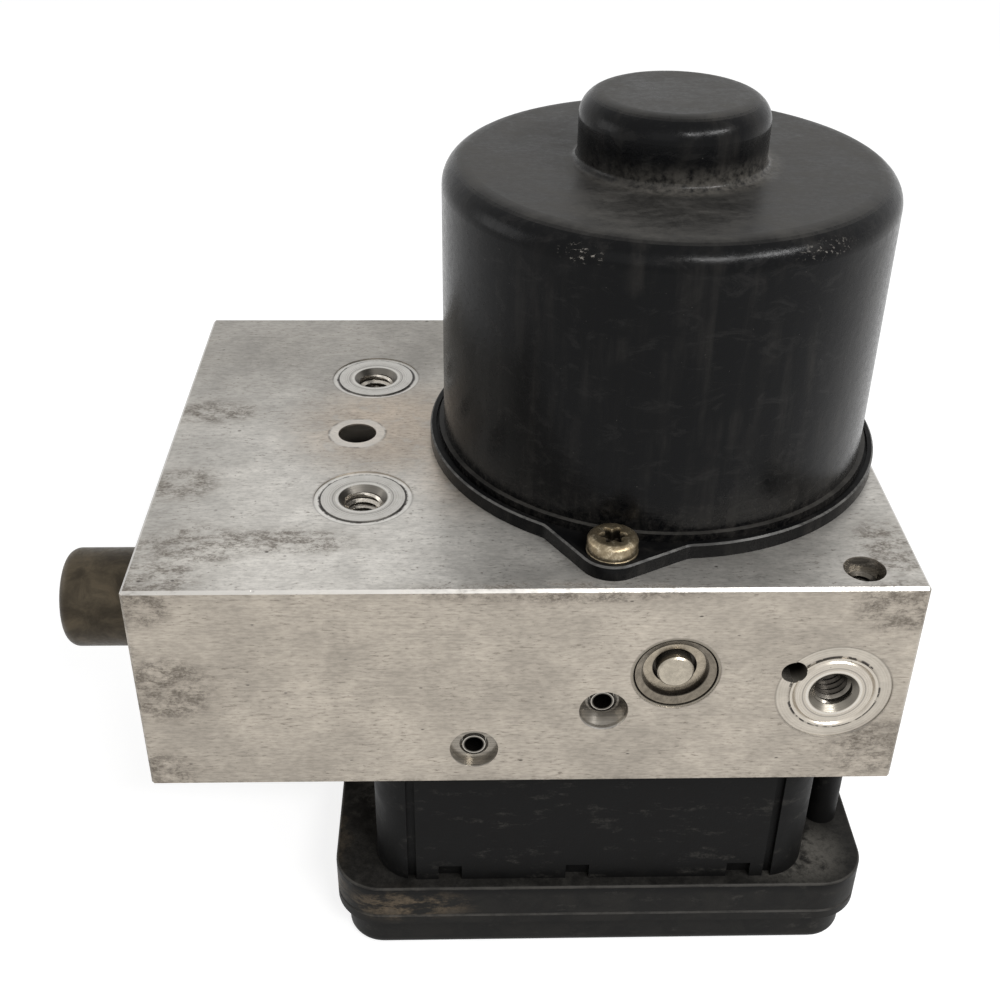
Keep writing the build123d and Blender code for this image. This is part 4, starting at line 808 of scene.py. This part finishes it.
face = face_point("front_thread", y=block_low.y)
thread_ridge("front_insert_ridge", face, (0, -1, 0), "insert", **insert_thread)
for end in ("front", "rear"):
    face = face_point(f"top_thread_{end}", z=block_high.z)
    thread_ridge(f"top_insert_{end}_ridge", face, (0, 0, 1), "insert", **insert_thread)
face = face_point("bracket_thread", z=block_high.z)
thread_ridge("bracket_thread_ridge", face, (0, 0, 1), "block", **bracket_thread)
for level in ("upper", "lower"):
    for port, hole in PORT_HOLES.items():
        face = face_point(f"{port}_{level}", y=block_high.y)
        thread_ridge(f"{port}_{level}_ridge", face, (0, 1, 0), "block", hole, **port_thread)


# ---------------------------------------------------------------- springs, each a copy of its node's coil
def yielding_spring(node):
    """A copy of the node's own coil, put in place of the hidden node."""
    coil = bpy.data.objects.new(f"{node}_coil", nodes[node].data.copy())
    bpy.context.scene.collection.objects.link(coil)
    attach(coil, "module")
    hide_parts(node)
    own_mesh(coil)


for end in ("front", "rear"):
    yielding_spring(f"pump_spring_{end}")
    yielding_spring(f"brush_spring_{end}")
for number in (1, 2):
    yielding_spring(f"accumulator_spring_{number}")


# ---------------------------------------------------------------- motor screws
def star(angle, valley=1.45, tip=2.3):
    """The radius of a six-lobed star drive at an angle."""
    return (valley + tip) / 2 + (tip - valley) / 2 * math.cos(6 * angle)


def motor_screw(name, origin):
    """A cheese head with a chamfered rim, a small foot flange and a star drive."""
    head, top = SCREW_HEAD, SCREW_HEIGHT
    outside = [  # radius and height, from the middle of the underside to the rim of the drive
        (0.02, 0),
        (head, 0),
        (head + 0.1, 0.12),
        (head + 0.1, 0.38),
        (head, 0.52),
        (head, top - 0.85),
        (head - 0.12, top - 0.58),
        (head - 0.75, top - 0.12),
        (head - 1.0, top - 0.04),
    ]
    # how far outside the star, and at what height, down into the drive
    drive = [(0.35, top), (0.12, top - 0.08), (0, top - 0.3), (-0.08, 1.1), (-0.5, 0.9)]
    maker = bmesh.new()
    rows = [ring_row(maker, lambda _, r=radius: r, height) for radius, height in outside]
    rows += [ring_row(maker, lambda angle, r=more: star(angle) + r, height) for more, height in drive]
    for low, high in zip(rows, rows[1:]):
        join_rows(maker, low, high)
    maker.faces.new(rows[-1])
    maker.faces.new(rows[0][::-1])
    piece = new_object(name, maker, place(origin, (0, 0, 1)), looks["motor_screw"])
    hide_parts("motor_screws")


for name, sign in (("screw_front", -1), ("screw_rear", 1)):
    motor_screw(name, (sign * screw_x, sign * screw_y, screws_high.z - SCREW_HEIGHT))


# ---------------------------------------------------------------- stage, camera and light
def seen_or_lit(tree, seen, lit, output):
    """Camera, glossy and transmission rays get the first shader, all other rays the second."""
    path = tree.nodes.new("ShaderNodeLightPath")
    looking = path.outputs["Is Camera Ray"]
    for name in ("Is Glossy Ray", "Is Transmission Ray"):
        either = tree.nodes.new("ShaderNodeMath")
        either.operation = "MAXIMUM"
        tree.links.new(looking, either.inputs[0])
        tree.links.new(path.outputs[name], either.inputs[1])
        looking = either.outputs[0]
    choose = tree.nodes.new("ShaderNodeMixShader")
    tree.links.new(looking, choose.inputs[0])
    tree.links.new(lit.outputs[0], choose.inputs[1])
    tree.links.new(seen.outputs[0], choose.inputs[2])
    tree.links.new(choose.outputs[0], output.inputs[0])


def floor_look():
    """A pale floor that is white where it is lit and keeps a soft shadow."""
    material = bpy.data.materials.new("floor_white")
    material.use_nodes = True
    tree = material.node_tree
    lit = tree.nodes.new("ShaderNodeBsdfDiffuse")
    lit.inputs["Color"].default_value = (FLOOR_TONE, FLOOR_TONE, FLOOR_TONE, 1)
    glow = tree.nodes.new("ShaderNodeEmission")
    glow.inputs["Strength"].default_value = FLOOR_GLOW
    seen = tree.nodes.new("ShaderNodeAddShader")
    tree.links.new(lit.outputs[0], seen.inputs[0])
    tree.links.new(glow.outputs[0], seen.inputs[1])
    seen_or_lit(tree, seen, lit, tree.nodes["Material Output"])
    return material


def area_light(name, place_mm, target_mm, size_mm, power):
    """A rectangular lamp that faces its target."""
    data = bpy.data.lights.new(name, "AREA")
    data.shape = "RECTANGLE"
    data.size, data.size_y = (s * MM for s in size_mm)
    data.energy = power
    light = bpy.data.objects.new(name, data)
    start = Vector(place_mm) * MM
    aim = Vector(target_mm) * MM - start
    light.matrix_world = Matrix.Translation(start) @ aim.to_track_quat("-Z", "Y").to_matrix().to_4x4()
    bpy.context.scene.collection.objects.link(light)


def white(background, strength):
    """Make a world's background shader white."""
    background.inputs["Color"].default_value = (1, 1, 1, 1)
    background.inputs["Strength"].default_value = strength
    return background


floor_mesh = bpy.data.meshes.new("floor")
floor_corners = [(x * FLOOR_HALF, y * FLOOR_HALF, 0) for x, y in ((-1, -1), (1, -1), (1, 1), (-1, 1))]
floor_mesh.from_pydata(floor_corners, [], [(0, 1, 2, 3)])
floor_mesh.materials.append(floor_look())
floor = bpy.data.objects.new("floor", floor_mesh)
floor.location.z = FLOOR_Z
bpy.context.scene.collection.objects.link(floor)

camera_data = bpy.data.cameras.new("camera")
camera_data.lens = LENS
camera_data.sensor_width = SENSOR
camera_data.clip_start = 0.01
camera_data.clip_end = 50
camera = bpy.data.objects.new("camera", camera_data)
turn = Matrix((CAMERA_RIGHT, -CAMERA_DOWN, -CAMERA_FORWARD)).transposed().to_4x4()
camera.matrix_world = Matrix.Translation(CAMERA_PLACE * MM) @ turn
bpy.context.scene.collection.objects.link(camera)
bpy.context.scene.camera = camera

for lamp in LAMPS:
    area_light(*lamp)

world = bpy.data.worlds.new("world")
bpy.context.scene.world = world
world.use_nodes = True
world_nodes = world.node_tree.nodes
world_lit = white(world_nodes["Background"], WORLD_LIGHT)
world_seen = white(world_nodes.new("ShaderNodeBackground"), WORLD_SEEN)
seen_or_lit(world.node_tree, world_seen, world_lit, world_nodes["World Output"])

bpy.context.scene.view_settings.view_transform = "Standard"
